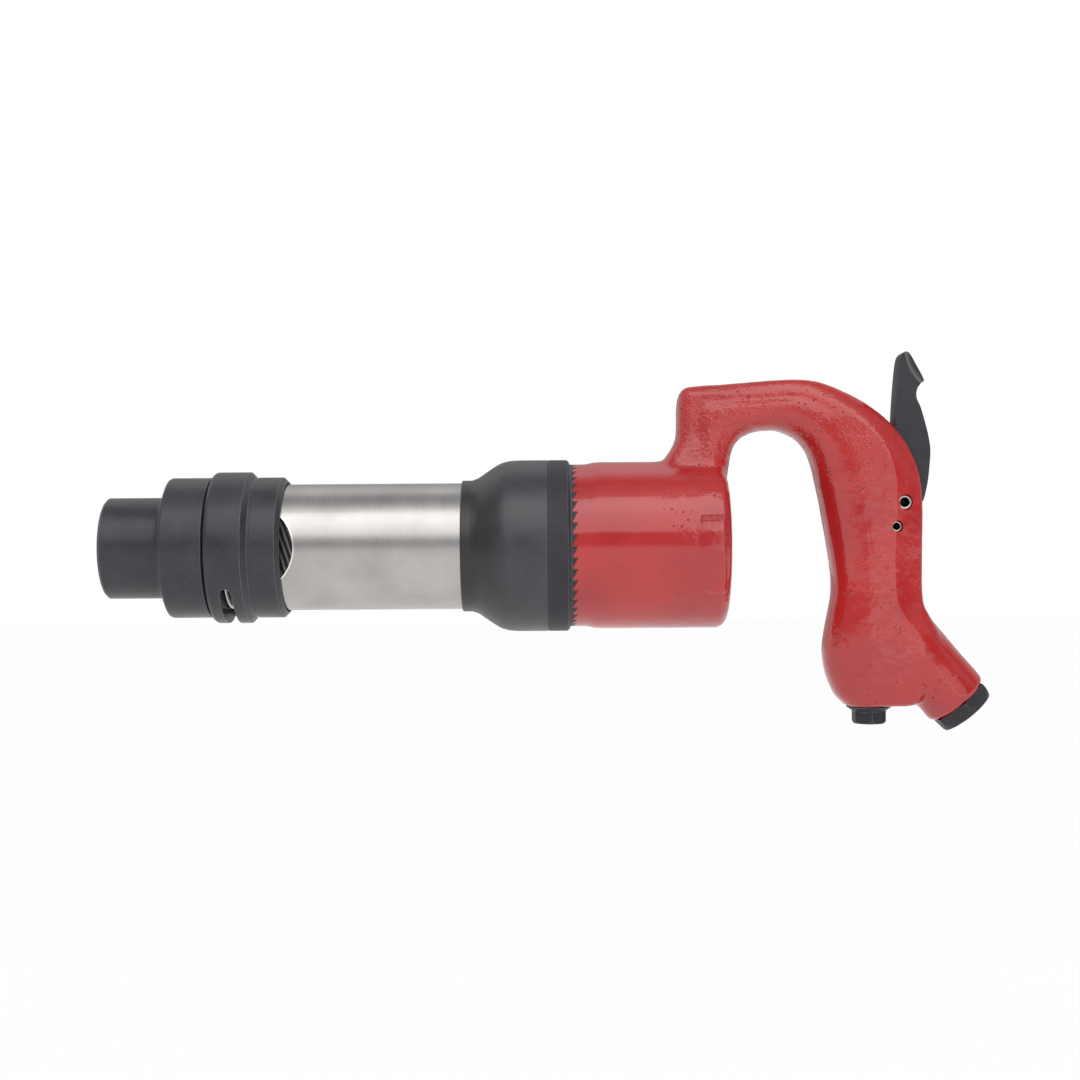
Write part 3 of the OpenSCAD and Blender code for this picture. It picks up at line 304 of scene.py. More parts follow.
@dataclass(frozen=True)
class FlattedBarrel(TurnedSteel):
    """Ground barrel steel whose wrench flats keep the slanted marks of the mill on a dark skin that is partly
    painted reflection, with a painted highlight round them.
    """

    flat_at: float = 0.02275
    flat_to: float = 0.0246
    flat_half: float = 0.0142
    cutter: tuple[float, float, float] = (0.0063, 0.0, 0.0)
    cutter_r: float = 0.0176
    mark_mm: float = 1.1
    mark_lean_deg: float = 18.0
    edge_highlight: str = "#F2F0EE"

    def dress(self, tree: bpy.types.NodeTree, place: bpy.types.NodeSocket, shader: bpy.types.Node) -> None:
        """Lays the marked dark skin, partly painted reflection, over the ground one wherever the surface lies
        on a flat, and paints a highlight round the flat.

        Args:
            tree: the material's node tree.
            place: the object coordinates.
            shader: the principled shader.
        """
        super().dress(tree, place, shader)
        parts = add(tree, "SeparateXYZ", {0: place}).outputs
        side = add(tree, "Math", {0: parts["Y"]}, operation="ABSOLUTE").outputs[0]
        low = add(tree, "MapRange", {0: side, 1: self.flat_at + 0.0001, 2: self.flat_at + 0.00005}).outputs[0]
        front = add(tree, "MapRange", {0: parts["X"], 1: self.flat_to + 0.0003, 2: self.flat_to}).outputs[0]
        height = add(tree, "Math", {0: parts["Z"]}, operation="ABSOLUTE").outputs[0]
        middle = add(tree, "Math", {0: height, 1: self.flat_half}, operation="LESS_THAN").outputs[0]
        ahead = add(tree, "Math", {0: low, 1: front}, operation="MULTIPLY").outputs[0]
        flat = add(tree, "Math", {0: ahead, 1: middle}, operation="MULTIPLY").outputs[0]
        turn = (0.0, math.radians(self.mark_lean_deg), 0.0)
        lean = add(tree, "Mapping", {"Vector": place, "Rotation": turn}).outputs["Vector"]
        # A wave texture repeats about every sixth part of its scale
        marks = add(
            tree, "TexWave",
            {"Vector": lean, "Scale": per(self.mark_mm * 6.3), "Distortion": 1.5, "Detail": 2.0},
            bands_direction="X",
        ).outputs["Fac"]
        # The flat's dark colour is partly its skin and partly painted dark reflection
        milled_and_dark_reflection = add(
            tree, "ValToRGB", {"Fac": marks}, [(0.25, "#232224"), (0.6, "#3A393A"), (0.95, "#807D7A")]
        ).outputs["Color"]
        # A painted highlight runs round the mill's print, where its broken edge catches the light
        level_with = add(tree, "CombineXYZ", {0: parts["X"], 1: 0.0, 2: parts["Z"]}).outputs[0]
        away = add(tree, "VectorMath", {0: level_with, 1: self.cutter}, operation="DISTANCE").outputs["Value"]
        rim = {0: away, 1: self.cutter_r + 0.0002, 2: 0.00035}
        off_edge = add(tree, "Math", rim, operation="COMPARE").outputs[0]
        edge = add(tree, "Math", {0: off_edge, 1: middle}, operation="MULTIPLY").outputs[0]
        ground = shader.inputs["Base Color"].links[0].from_socket
        bright = add(
            tree, "Mix", {"Factor": edge, "A": ground, "B": linear(self.edge_highlight)}, data_type="RGBA"
        ).outputs["Result"]
        colour = add(tree, "Mix", {"Factor": flat, "A": bright, "B": milled_and_dark_reflection}, data_type="RGBA")
        tree.links.new(colour.outputs["Result"], shader.inputs["Base Color"])
        metal = add(tree, "MapRange", {0: flat, 3: self.metallic, 4: 0.6}).outputs[0]
        tree.links.new(metal, shader.inputs["Metallic"])


@dataclass(frozen=True)
class DarkSkin(Finish):
    """A dark satin skin with a fine tooth and faint specks: phosphate, black oxide or moulded rubber."""

    dark: str = "#36363A"
    light: str = "#4C4D52"
    speck: str = "#6A6C72"
    gleam: float = 0.5
    speck_share: float = 0.66
    # A real tooth is finer than this, which is as coarse as it needs to show
    tooth_mm: float = 0.5
    depth_mm: float = 0.02
    cloud_mm: float = 14.0
    # Where along the tool painted shade in a hollow goes from dark to none, in metres
    shaded_span: tuple[float, float] = (0.0, 0.0)
    painted_shade: str = "#131417"
    edge_mm: float = 0.0
    worn_and_highlit_edge: str = "#9EA0A6"

    def dress(self, tree: bpy.types.NodeTree, place: bpy.types.NodeSocket, shader: bpy.types.Node) -> None:
        """Clouds the skin, strews fine pale specks, raises a fine tooth, paints shade over a hollow, and rubs
        the edges pale, partly as wear and partly as painted highlight.

        Args:
            tree: the material's node tree.
            place: the object coordinates.
            shader: the principled shader.
        """
        cloud = add(
            tree, "TexNoise",
            {"Vector": place, "Scale": per(self.cloud_mm), "Detail": 4.0, "Roughness": 0.6},
        ).outputs["Fac"]
        tooth = add(
            tree, "TexNoise", {"Vector": place, "Scale": per(self.tooth_mm), "Detail": 2.0}
        ).outputs["Fac"]
        base = add(tree, "ValToRGB", {"Fac": cloud}, [(0.35, self.dark), (0.65, self.light)]).outputs["Color"]
        specks = add(
            tree, "MapRange", {0: tooth, 1: self.speck_share, 2: self.speck_share + 0.08}
        ).outputs[0]
        colour = add(
            tree, "Mix", {"Factor": specks, "A": base, "B": linear(self.speck)}, data_type="RGBA"
        ).outputs["Result"]
        if self.shaded_span[1] > self.shaded_span[0]:
            # Painted shade darkens the hollow, fading out along the tool
            along = add(tree, "SeparateXYZ", {0: place}).outputs["X"]
            painted_shade = add(tree, "MapRange", {0: along, 1: self.shaded_span[1], 2: self.shaded_span[0], 4: 0.9}).outputs[0]
            colour = add(
                tree, "Mix", {"Factor": painted_shade, "A": colour, "B": linear(self.painted_shade)}, data_type="RGBA"
            ).outputs["Result"]
        bump = add(tree, "Bump", {"Height": tooth, "Strength": 0.5, "Distance": self.depth_mm * MM})
        if self.edge_mm > 0:
            # Edges are rubbed round, and painted pale as partly wear and partly painted highlight, wherever
            # the rounded and the true surface part
            rounded = add(tree, "Bevel", {"Radius": self.edge_mm * MM}, samples=6).outputs["Normal"]
            tree.links.new(rounded, bump.inputs["Normal"])
            true = add(tree, "NewGeometry").outputs["Normal"]
            same = add(tree, "VectorMath", {0: rounded, 1: true}, operation="DOT_PRODUCT").outputs["Value"]
            rub_and_highlight = add(tree, "MapRange", {0: same, 1: 0.98, 2: 0.88, 4: 0.8}).outputs[0]
            colour = add(
                tree, "Mix", {"Factor": rub_and_highlight, "A": colour, "B": linear(self.worn_and_highlit_edge)}, data_type="RGBA"
            ).outputs["Result"]
        tree.links.new(colour, shader.inputs["Base Color"])
        shader.inputs["Specular IOR Level"].default_value = self.gleam
        shine = {0: cloud, 1: 0.3, 2: 0.7, 3: self.roughness - 0.05, 4: self.roughness + 0.07}
        tree.links.new(add(tree, "MapRange", shine).outputs[0], shader.inputs["Roughness"])
        tree.links.new(bump.outputs["Normal"], shader.inputs["Normal"])


@dataclass(frozen=True)
class DishShadedSkin(DarkSkin):
    """A dark skin with painted shade in its thumb dish, which is also shinier. The dish is a ball's print, in
    metres.
    """

    ball: tuple[float, float, float] = (0.3036, -0.0115, 0.0835)
    ball_r: float = 0.022
    dish_shade: str = "#1B1A1C"
    thumbed_roughness: float = 0.25

    def dress(self, tree: bpy.types.NodeTree, place: bpy.types.NodeSocket, shader: bpy.types.Node) -> None:
        """Paints shade on the skin wherever it lies on the ball, and makes it shinier there.

        Args:
            tree: the material's node tree.
            place: the object coordinates.
            shader: the principled shader.
        """
        super().dress(tree, place, shader)
        away = add(tree, "VectorMath", {0: place, 1: self.ball}, operation="DISTANCE").outputs["Value"]
        print_of_ball = {0: away, 1: self.ball_r + 0.0003, 2: self.ball_r + 0.0001, 4: 0.75}
        painted_shade = add(tree, "MapRange", print_of_ball).outputs[0]
        unshaded = shader.inputs["Base Color"].links[0].from_socket
        colour = add(tree, "Mix", {"Factor": painted_shade, "A": unshaded, "B": linear(self.dish_shade)}, data_type="RGBA")
        tree.links.new(colour.outputs["Result"], shader.inputs["Base Color"])
        shine = {0: painted_shade, 2: 0.75, 3: self.roughness, 4: self.thumbed_roughness}
        tree.links.new(add(tree, "MapRange", shine).outputs[0], shader.inputs["Roughness"])


@dataclass(frozen=True)
class PinSteel(Finish):
    """Bright spring steel with painted shade in its bore: a shiny ring round a black hole."""

    axis: tuple[float, float] = (0.0, 0.0)
    bore: float = 0.002

    def dress(self, tree: bpy.types.NodeTree, place: bpy.types.NodeSocket, shader: bpy.types.Node) -> None:
        """Paints shade on the skin where it lies in the bore, by its distance from the pin's axis.

        Args:
            tree: the material's node tree.
            place: the object coordinates.
            shader: the principled shader.
        """
        parts = add(tree, "SeparateXYZ", {0: place}).outputs
        flat = add(tree, "CombineXYZ", {0: parts["X"], 1: 0.0, 2: parts["Z"]}).outputs[0]
        centre = (self.axis[0], 0.0, self.axis[1])
        away = add(tree, "VectorMath", {0: flat, 1: centre}, operation="DISTANCE").outputs["Value"]
        unshaded = add(tree, "MapRange", {0: away, 1: self.bore * 1.01, 2: self.bore * 1.12}).outputs[0]
        # The bore is painted near black, as painted shade
        steel = add(tree, "ValToRGB", {"Fac": unshaded}, [(0.0, "#0C0C0C"), (1.0, "#B8B5B0")])
        tree.links.new(steel.outputs["Color"], shader.inputs["Base Color"])
        tree.links.new(unshaded, shader.inputs["Metallic"])
        shine = add(tree, "MapRange", {0: unshaded, 3: 0.7, 4: self.roughness}).outputs[0]
        tree.links.new(shine, shader.inputs["Roughness"])


class Finishes(Enum):
    """The finishes on the tool, by what a maker would call them."""

    # Enamel over sand casting: saturated red, dielectric gloss that pales where a light shows in it
    RED_ENAMEL = CastEnamel("red_enamel_on_sand_casting", "red_enamel", 0.1)
    # Barrel: ground and polished round, bare, slightly warm steel
    GROUND_BARREL = FlattedBarrel("ground_barrel_steel", "satin_steel", 0.3, 1.0, "#ACA9A7", "#C6C3C1")
    # Retainer: turned alloy steel in black oxide, a slate skin with a satin sheen and rubbed edges, painted
    # pale as partly wear and partly painted highlight
    BLACK_OXIDE = DarkSkin(
        "black_oxide_on_turned_steel", "black_oxide", 0.34, 0.2, "#37373C", "#404045", "#5A5A60", 0.4,
        edge_mm=0.45)
    # Lock ring, plug and inlet hexagon: manganese phosphate, darker and drier, its rubbed edges painted pale
    # as partly wear and partly painted highlight
    PHOSPHATE = DarkSkin(
        "black_phosphate_on_steel", "black_phosphate", 0.5, 0.1, "#303035", "#39393E", "#4E4E53", 0.3,
        edge_mm=0.3)
    # Lever: the same phosphate, with painted shade in the shinier dish where the thumb lies
    THUMBED_PHOSPHATE = DishShadedSkin(
        "black_phosphate_with_dish_shade", "black_phosphate", 0.5, 0.1, "#303035", "#39393E", "#4E4E53", 0.3)
    # Deflector: moulded rubber with a satin skin, with painted shade in its hollow neck
    MOULDED_RUBBER = DarkSkin(
        "moulded_black_rubber", "black_rubber", 0.38, 0.0, "#2F2F34", "#393A40", "#54565D", 0.65,
        shaded_span=(0.105, 0.114))
    # Gaskets, rings and the bumper: dull nitrile
    SEAL_RUBBER = DarkSkin("nitrile_rubber", "rubber_seal", 0.6, 0.0, "#18181A", "#222224", "#303032")
    # Wire and springs: bright drawn spring steel
    SPRING_STEEL = TurnedSteel(
        "drawn_spring_steel", "spring_steel", 0.22, 1.0, "#B4B2AE", "#DDDBD8", 0.4, 0.003)
    # Valve parts: fine ground steel
    GROUND_STEEL = TurnedSteel(
        "fine_ground_steel", "ground_steel", 0.25, 1.0, "#A8A7A4", "#D0CFCC", 0.3, 0.004)
    # Piston, bushing and blocks: hardened and ground, a shade darker
    HARDENED_STEEL = TurnedSteel(
        "hardened_ground_steel", "hardened_steel", 0.32, 1.0, "#6E6C6A", "#979492", 0.3, 0.005)
    # Throttle bushing: machined bronze
    BRONZE = TurnedSteel("machined_bronze", "bronze", 0.3, 1.0, "#A07A3C", "#C9A25E", 0.3, 0.005)


NODE_FINISHES: dict[str, Finishes] = {
    "handle_casting": Finishes.RED_ENAMEL,
    "throttle_lever": Finishes.PHOSPHATE,
    "lever_pivot_pin": Finishes.SPRING_STEEL,
    "bushing_roll_pin": Finishes.SPRING_STEEL,
    "throttle_bushing": Finishes.BRONZE,
    "throttle_valve": Finishes.GROUND_STEEL,
    "throttle_spring": Finishes.SPRING_STEEL,
    "throttle_plug": Finishes.PHOSPHATE,
    "plug_gasket": Finishes.SEAL_RUBBER,
    "inlet_bushing": Finishes.PHOSPHATE,
    "inlet_screen": Finishes.GROUND_STEEL,
    "barrel": Finishes.GROUND_BARREL,
    "barrel_o_ring": Finishes.SEAL_RUBBER,
    "chisel_bushing": Finishes.HARDENED_STEEL,
    "piston": Finishes.HARDENED_STEEL,
    "valve_seat_block": Finishes.HARDENED_STEEL,
    "valve_shuttle": Finishes.GROUND_STEEL,
    "valve_cap_block": Finishes.HARDENED_STEEL,
    "valve_dowels": Finishes.GROUND_STEEL,
    "valve_gasket": Finishes.SEAL_RUBBER,
    "lock_ring": Finishes.PHOSPHATE,
    "lock_spring": Finishes.SPRING_STEEL,
    "spring_washer": Finishes.GROUND_STEEL,
    "spring_snap_ring": Finishes.SPRING_STEEL,
    "exhaust_deflector": Finishes.MOULDED_RUBBER,
    "retainer_collar": Finishes.BLACK_OXIDE,
    "retainer_nose": Finishes.BLACK_OXIDE,
    "retainer_bumper": Finishes.SEAL_RUBBER,
    "retainer_lock_wire": Finishes.SPRING_STEEL,
    "detent_ball": Finishes.SPRING_STEEL,
    "detent_spring": Finishes.SPRING_STEEL,
}


def clamp(value: float) -> float:
    """Holds a value between 0 and 1."""
    return min(max(value, 0.0), 1.0)


def only(*pieces: bpy.types.Object) -> bpy.types.Object:
    """Selects these objects alone, with the first one active.

    Args:
        pieces: the objects to select.

    Returns:
        The first of them.
    """
    bpy.ops.object.select_all(action="DESELECT")
    for piece in pieces:
        piece.select_set(True)
    bpy.context.view_layer.objects.active = pieces[0]
    return pieces[0]


def settle(piece: bpy.types.Object) -> None:
    """Puts a piece's place, turn and scale into its mesh."""
    only(piece)
    bpy.ops.object.transform_apply(location=True, rotation=True, scale=True)


def soften(piece: bpy.types.Object, angle_deg: float) -> None:
    """Shades a piece smooth, but for edges sharper than an angle."""
    only(piece)
    bpy.ops.object.shade_smooth_by_angle(angle=math.radians(angle_deg))


def tidy(piece: bpy.types.Object) -> None:
    """Merges a piece's doubled points and turns its faces outwards.

    Args:
        piece: the piece to tidy.
    """
    only(piece)
    bpy.ops.object.mode_set(mode="EDIT")
    bpy.ops.mesh.select_all(action="SELECT")
    bpy.ops.mesh.remove_doubles(threshold=1e-6)
    bpy.ops.mesh.normals_make_consistent(inside=False)
    bpy.ops.object.mode_set(mode="OBJECT")


def modify(piece: bpy.types.Object, kind: str, **settings: object) -> None:
    """Adds one modifier to a piece and applies it.

    Args:
        piece: the piece to change.
        kind: the modifier's type.
        settings: the modifier's own properties.
    """
    only(piece)
    modifier = piece.modifiers.new(kind.lower(), kind)
    for key, value in settings.items():
        setattr(modifier, key, value)
    bpy.ops.object.modifier_apply(modifier=modifier.name)


def weigh(piece: bpy.types.Object, name: str, rule: Callable[[float, float, float], float]) -> None:
    """Gives a piece a vertex group whose weights follow a rule of place.

    Args:
        piece: the piece to weigh.
        name: the group's name.
        rule: gives the weight, from 0 to 1, at a point in millimetres.
    """
    group = piece.vertex_groups.new(name=name)
    for vertex in piece.data.vertices:
        x, y, z = vertex.co
        group.add([vertex.index], rule(x / MM, y / MM, z / MM), "REPLACE")


def join(pieces: list[bpy.types.Object], name: str) -> bpy.types.Object:
    """Joins several objects into one.

    Args:
        pieces: the objects, which the first one swallows.
        name: the name of the result.

    Returns:
        The joined object.
    """
    first = only(*pieces)
    bpy.ops.object.join()
    first.name = name
    first.data.name = name
    return first


def cut(piece: bpy.types.Object, tool: bpy.types.Object) -> None:
    """Cuts one object by another and deletes the tool.

    Args:
        piece: the object to change.
        tool: the object that cuts.
    """
    modify(piece, "BOOLEAN", operation="DIFFERENCE", object=tool, solver="EXACT")
    bpy.data.objects.remove(tool, do_unlink=True)


def skin(
    name: str, across: int, along: int, place: Callable[[float, float], tuple[float, float, float]]
) -> bpy.types.Object:
    """Lays a grid along a route and closes it into a tube with two end faces.

    Args:
        name: the new piece's name.
        across: how many faces go round.
        along: how many faces go along.
        place: gives the point, in millimetres, for a share of the way round and along.

    Returns:
        The closed piece.
    """
    bpy.ops.object.select_all(action="DESELECT")
    bpy.ops.mesh.primitive_grid_add(x_subdivisions=across, y_subdivisions=along, size=1.0)
    piece = bpy.context.object
    piece.name = name
    for vertex in piece.data.vertices:
        vertex.co = Vector(place(vertex.co.x + 0.5, vertex.co.y + 0.5)) * MM
    only(piece)
    bpy.ops.object.mode_set(mode="EDIT")
    bpy.ops.mesh.select_all(action="SELECT")
    bpy.ops.mesh.remove_doubles(threshold=1e-6)
    bpy.ops.mesh.select_all(action="DESELECT")
    bpy.ops.mesh.select_non_manifold()
    bpy.ops.mesh.edge_face_add()
    bpy.ops.mesh.select_all(action="SELECT")
    bpy.ops.mesh.normals_make_consistent(inside=False)
    bpy.ops.object.mode_set(mode="OBJECT")
    return piece


def turned(name: str, profile: list[tuple[float, float]], steps: int = 160) -> bpy.types.Object:
    """Spins a closed profile round the tool's axis.

    Args:
        name: the new piece's name.
        profile: the profile's corners, each as x and radius in millimetres.
        steps: how many faces go round.

    Returns:
        The turned piece.
    """
    bpy.ops.object.select_all(action="DESELECT")
    bpy.ops.mesh.primitive_circle_add(vertices=len(profile), radius=1.0)
    piece = bpy.context.object
    piece.name = name
    for vertex, (x, r) in zip(piece.data.vertices, profile):
        vertex.co = Vector((x, 0, r)) * MM
    only(piece)
    bpy.ops.object.mode_set(mode="EDIT")
    bpy.ops.mesh.select_all(action="SELECT")
    bpy.ops.mesh.spin(steps=steps, angle=math.tau, center=(0, 0, 0), axis=(1, 0, 0), use_auto_merge=True)
    bpy.ops.object.mode_set(mode="OBJECT")
    tidy(piece)
    return piece


def rod(name: str, radius: float, start: Vector, end: Vector, sides: int = 48) -> bpy.types.Object:
    """Makes a round bar between two points, all in millimetres.

    Args:
        name: the new piece's name.
        radius: the bar's radius.
        start: the middle of one end.
        end: the middle of the other end.
        sides: how many faces go round.

    Returns:
        The bar, closed at both ends.
    """
    way = end - start
    bpy.ops.object.select_all(action="DESELECT")
    bpy.ops.mesh.primitive_cylinder_add(
        vertices=sides, radius=radius * MM, depth=way.length * MM,
        location=(start + end) / 2 * MM, rotation=way.to_track_quat("Z", "Y").to_euler())
    bar = bpy.context.object
    bar.name = name
    settle(bar)
    return bar


def plate(name: str, outline: list[tuple[float, float]], thickness: float) -> bpy.types.Object:
    """Makes a flat plate in the tool's middle plane, all in millimetres.

    Args:
        name: the new piece's name.
        outline: the outline's corners as x and z.
        thickness: how thick the plate is, half to each side.

    Returns:
        The closed plate.
    """
    bpy.ops.object.select_all(action="DESELECT")
    bpy.ops.mesh.primitive_circle_add(vertices=len(outline), radius=1.0, fill_type="NGON")
    piece = bpy.context.object
    piece.name = name
    for vertex, (x, z) in zip(piece.data.vertices, outline):
        vertex.co = Vector((x, -thickness / 2, z)) * MM
    only(piece)
    bpy.ops.object.mode_set(mode="EDIT")
    bpy.ops.mesh.select_all(action="SELECT")
    bpy.ops.mesh.extrude_region_move(TRANSFORM_OT_translate={"value": (0, thickness * MM, 0)})
    bpy.ops.mesh.select_all(action="SELECT")
    bpy.ops.mesh.normals_make_consistent(inside=False)
    bpy.ops.object.mode_set(mode="OBJECT")
    return piece


def smooth(points: list[tuple[float, ...]], place: float) -> tuple[float, ...]:
    """Follows a smooth curve through points.

    Args:
        points: points of any dimension.
        place: a share of the way along, from 0 to 1.

    Returns:
        The point at that place.
    """
    spot = clamp(place) * (len(points) - 1)
    i = min(int(spot), len(points) - 2)
    t = spot - i
    a, b, c, d = (points[min(max(i + k, 0), len(points) - 1)] for k in (-1, 0, 1, 2))
    return tuple(
        0.5 * (2 * q + (r - p) * t + (2 * p - 5 * q + 4 * r - s) * t * t + (3 * q - p - 3 * r + s) * t**3)
        for p, q, r, s in zip(a, b, c, d)
    )


def straight(ring: list[tuple[float, float]], share: float) -> tuple[float, float]:
    """Follows a closed ring of corners straight from one to the next.

    Args:
        ring: the corners, the last the same as the first.
        share: a share of the way round, from 0 to 1.

    Returns:
        The point at that share.
    """
    spot = share * (len(ring) - 1)
    i = min(int(spot), len(ring) - 2)
    t = spot - i
    return tuple(a + (b - a) * t for a, b in zip(ring[i], ring[i + 1]))


def arc(x: float, z: float, radius: float, start: float, end: float, steps: int) -> list[tuple[float, float]]:
    """Gives the points of an arc, with its angles in degrees."""
    turns = [math.radians(start + (end - start) * i / steps) for i in range(steps + 1)]
    return [(x + radius * math.cos(a), z + radius * math.sin(a)) for a in turns]


@dataclass
class HandleCasting:
    """Red handle casting: cup, gooseneck, grip, foot and inlet boss. Lengths are in millimetres.

    Its own frame has x from the valve seat and z from the barrel's axis.
    """

    seat: float = 196.2
    cup_depth: float = 54.2
    cup_r: float = 35.7
    cup_end: float = 9.4
    cup_edge: float = 5.0
    bore_r: float = 30.2
    crown_r: float = 34.7
    teeth: int = 45
    tooth_depth: float = 2.4
    tooth_edge: float = 0.12
    beam: float = 13.2
    grip: float = 16.3
    boss_end: tuple[float, float] = (109.1, -68.0)
    boss_r: float = 14.3
    boss_len: float = 34.0
    boss_round: float = 3.0
    boss_tilt: float = 40.0
    inlet_r: float = 10.2
    foot: float = -69.3
    pivot: tuple[float, float] = (84.6, 17.3)
    pivot_r: float = 3.2
    lower_pin: tuple[float, float] = (80.8, 7.1)
    lower_pin_r: float = 2.4
    pin_room: float = 0.05
    valve_axis: float = 71.0
    valve_bore_r: float = 8.65
    slot: float = 13.0
    swing: float = 15.0
    voxel: float = 0.62
    root_reach: float = 9.0
    pad_low_deg: float = -33.0
    pad_high_deg: float = 19.0
    pad_front: float = -3.5
    pad_back: float = 6.2
    pad_proud: float = 0.8
    pad_corner: float = 5.0

    def stations(self) -> list[tuple[float, ...]]:
        """Lists the sections from the cup round to the foot.

        Returns:
            For each: outer x and z, inner x and z, half width, half width of the outer face,
            depth of its bevel, and how far the ledge over the inner tube stands out.
        """
        b, g = self.beam, self.grip
        return [
            (-26, 18, 6, 6, b + 6, b, 5, 0.0),
            (-21, 30, 8.6, 20, b + 3.4, b - 1.5, 5.4, 0.0),
            (-15.2, 38, 10.8, 30, b + 1.2, b - 3.6, 5.6, 0.4),
            (-11.4, 44.5, 11.8, 36, b + 0.6, b - 4.2, 5.6, 1.1),
            (-10.6, 52, 12.8, 40.5, b, b - 4.8, 5.8, 1.4),
            (-10.4, 60, 14.2, 43, b, b - 4.8, 6, 1.5),
            (-8.4, 66.2, 16.2, 45.2, b, b - 4.8, 6, 1.5),
            (-2, 67.5, 18.5, 46.6, b, b - 4.8, 6, 1.5),
            (9, 68.2, 21.5, 47.9, b, b - 4.8, 6.1, 1.5),
            (24, 69.4, 26.5, 48.7, b, b - 4.8, 6.2, 1.5),
            (39, 70.1, 31.5, 48.6, b, b - 4.8, 6.3, 1.4),
            (49, 69, 36, 47.2, b + 0.4, b - 4.6, 6.6, 0.9),
            (59, 65.2, 40.3, 44.8, b + 1, b - 4.4, 7, 0.3),
            (68.7, 60, 43.6, 41.2, b + 1.8, b - 4.2, 7.6, 0.0),
            (78, 52.8, 45.7, 37.2, g - 0.7, g - 7.4, 8.4, 0.0),
            (85.3, 44.4, 47.3, 32, g - 0.3, g - 7.6, 9.4, 0.0),
            (89.7, 36, 48.8, 25, g, g - 7.6, 10.6, 0.0),
            (92.4, 27, 50.2, 18.5, g, g - 7.6, 11.8, 0.0),
            (93.2, 15, 51.8, 9.5, g, g - 7.6, 12.6, 0.0),
            (93, 0, 53.8, -2.5, g, g - 7.6, 13, 0.0),
            (92.8, -12, 55.2, -13, g, g - 7.6, 13, 0.0),
            (92.8, -20, 55.3, -20.5, g, g - 7.4, 12.6, 0.0),
            (93.4, -26, 54.4, -27, g + 0.1, g - 7, 12, 0.0),
            (95.8, -31, 52.6, -35.5, g + 0.2, g - 6.6, 11, 0.0),
            (99.2, -36.5, 51.3, -43.5, g + 0.2, g - 6, 9.6, 0.0),
            (100.5, -43, 51.4, -49, g + 0.1, g - 5, 8.4, 0.0),
            (99.5, -51, 52.4, -55, g, g - 4.6, 7.4, 0.0),
            (96, -59, 54.2, -60.5, g - 0.2, g - 4.4, 6.4, 0.0),
            (93, -65, 56.8, -65.5, g - 0.6, g - 4.6, 5, 0.0),
            (90.5, self.foot, 60.5, self.foot, g - 1.6, g - 6, 3.4, 0.0),
        ]

    def half(self, station: tuple[float, ...]) -> list[tuple[float, float]]:
        """Draws half a section as depth from the outer face and width from the middle.

        Args:
            station: one row of the stations.

        Returns:
            Points from the middle of the outer face to the middle of the inner side.
        """
        ox, oz, ix, iz, wide, face, bevel, ledge = station
        depth = math.hypot(ox - ix, oz - iz)
        start = 0.56 * depth
        span = start - bevel
        flank = [
            (0, 0),
            (0, face * 0.55),
            (0.15, face * 0.9),
            (0.8, face + 0.5),
            (bevel * 0.5, (face + wide - ledge) / 2 + 0.4),
            (bevel - 0.3, wide - ledge - 0.3),
            (bevel + 0.7, wide - ledge * 1.3),
            (bevel + span * 0.34, wide - ledge * 1.35),
            (bevel + span * 0.52, wide - ledge * 0.75),
            (bevel + span * 0.78, wide - ledge * 0.05),
            (start, wide),
        ]
        # A power under 1 squares the round inner side up a little
        tube = [
            (start + (depth - start) * math.sin(a) ** 0.82, wide * math.cos(a) ** 0.8)
            for a in (math.radians(turn) for turn in range(9, 90, 9))
        ]
        return flank + tube + [(depth, 0.0)]

    def gooseneck(self) -> bpy.types.Object:
        """Skins the gooseneck, grip and foot.

        Returns:
            The closed gooseneck.
        """
        stations = self.stations()

        def place(round_share: float, along: float) -> tuple[float, float, float]:
            """Places one point of the skin.

            Args:
                round_share: share of the way round the section.
                along: share of the way from the cup to the foot.

            Returns:
                The point, in millimetres.
            """
            station = smooth(stations, along)
            half = self.half(station)
            ring = half + [(d, -w) for d, w in reversed(half[1:-1])] + [half[0]]
            depth, width = straight(ring, round_share)
            ox, oz, ix, iz = station[:4]
            length = math.hypot(ix - ox, iz - oz)
            ux, uz = (ix - ox) / length, (iz - oz) / length
            return (ox + ux * depth, width, oz + uz * depth)

        return skin("gooseneck", 84, 210, place)

    def cup(self) -> bpy.types.Object:
        """Turns the outside of the cup that holds the valve and the barrel's rear end.

        Returns:
            The solid cup.
        """
        front, edge, crown = -self.cup_depth, self.cup_edge, self.crown_r + 0.05
        profile = [(front, 0), (front, crown), (front + 4, crown)]
        profile += [(front + 7.5, self.cup_r - 0.15), (front + 11, self.cup_r)]
        profile += [(x, r) for r, x in arc(self.cup_r - edge, self.cup_end - edge, edge, 0, 75, 8)]
        profile += [(self.cup_end + 0.5, self.cup_r - 12), (self.cup_end + 0.8, 0)]
        return turned("cup", profile, 192)

    def boss(self) -> bpy.types.Object:
        """Turns the inlet boss on its slanted axis.

        Returns:
            The solid boss.
        """
        tilt = math.radians(self.boss_tilt)
        round_edge = arc(-self.boss_round, self.boss_r - self.boss_round, self.boss_round, 90, 10, 6)
        profile = [(-self.boss_len, 0), (-self.boss_len, self.boss_r), *round_edge, (0, 0)]
        boss = turned("boss", profile, 96)
        only(boss)
        boss.rotation_euler = (0, math.radians(90) - tilt, 0)
        boss.location = Vector((self.boss_end[0], 0, self.boss_end[1])) * MM
        settle(boss)
        return boss

    def pad(self) -> bpy.types.Object:
        """Raises the low curved pad on the near side of the cup.

        Returns:
            The pad, with its foot sunk in the cup.
        """
        low, high, back, corner = self.pad_low_deg, self.pad_high_deg, self.pad_back, self.pad_corner

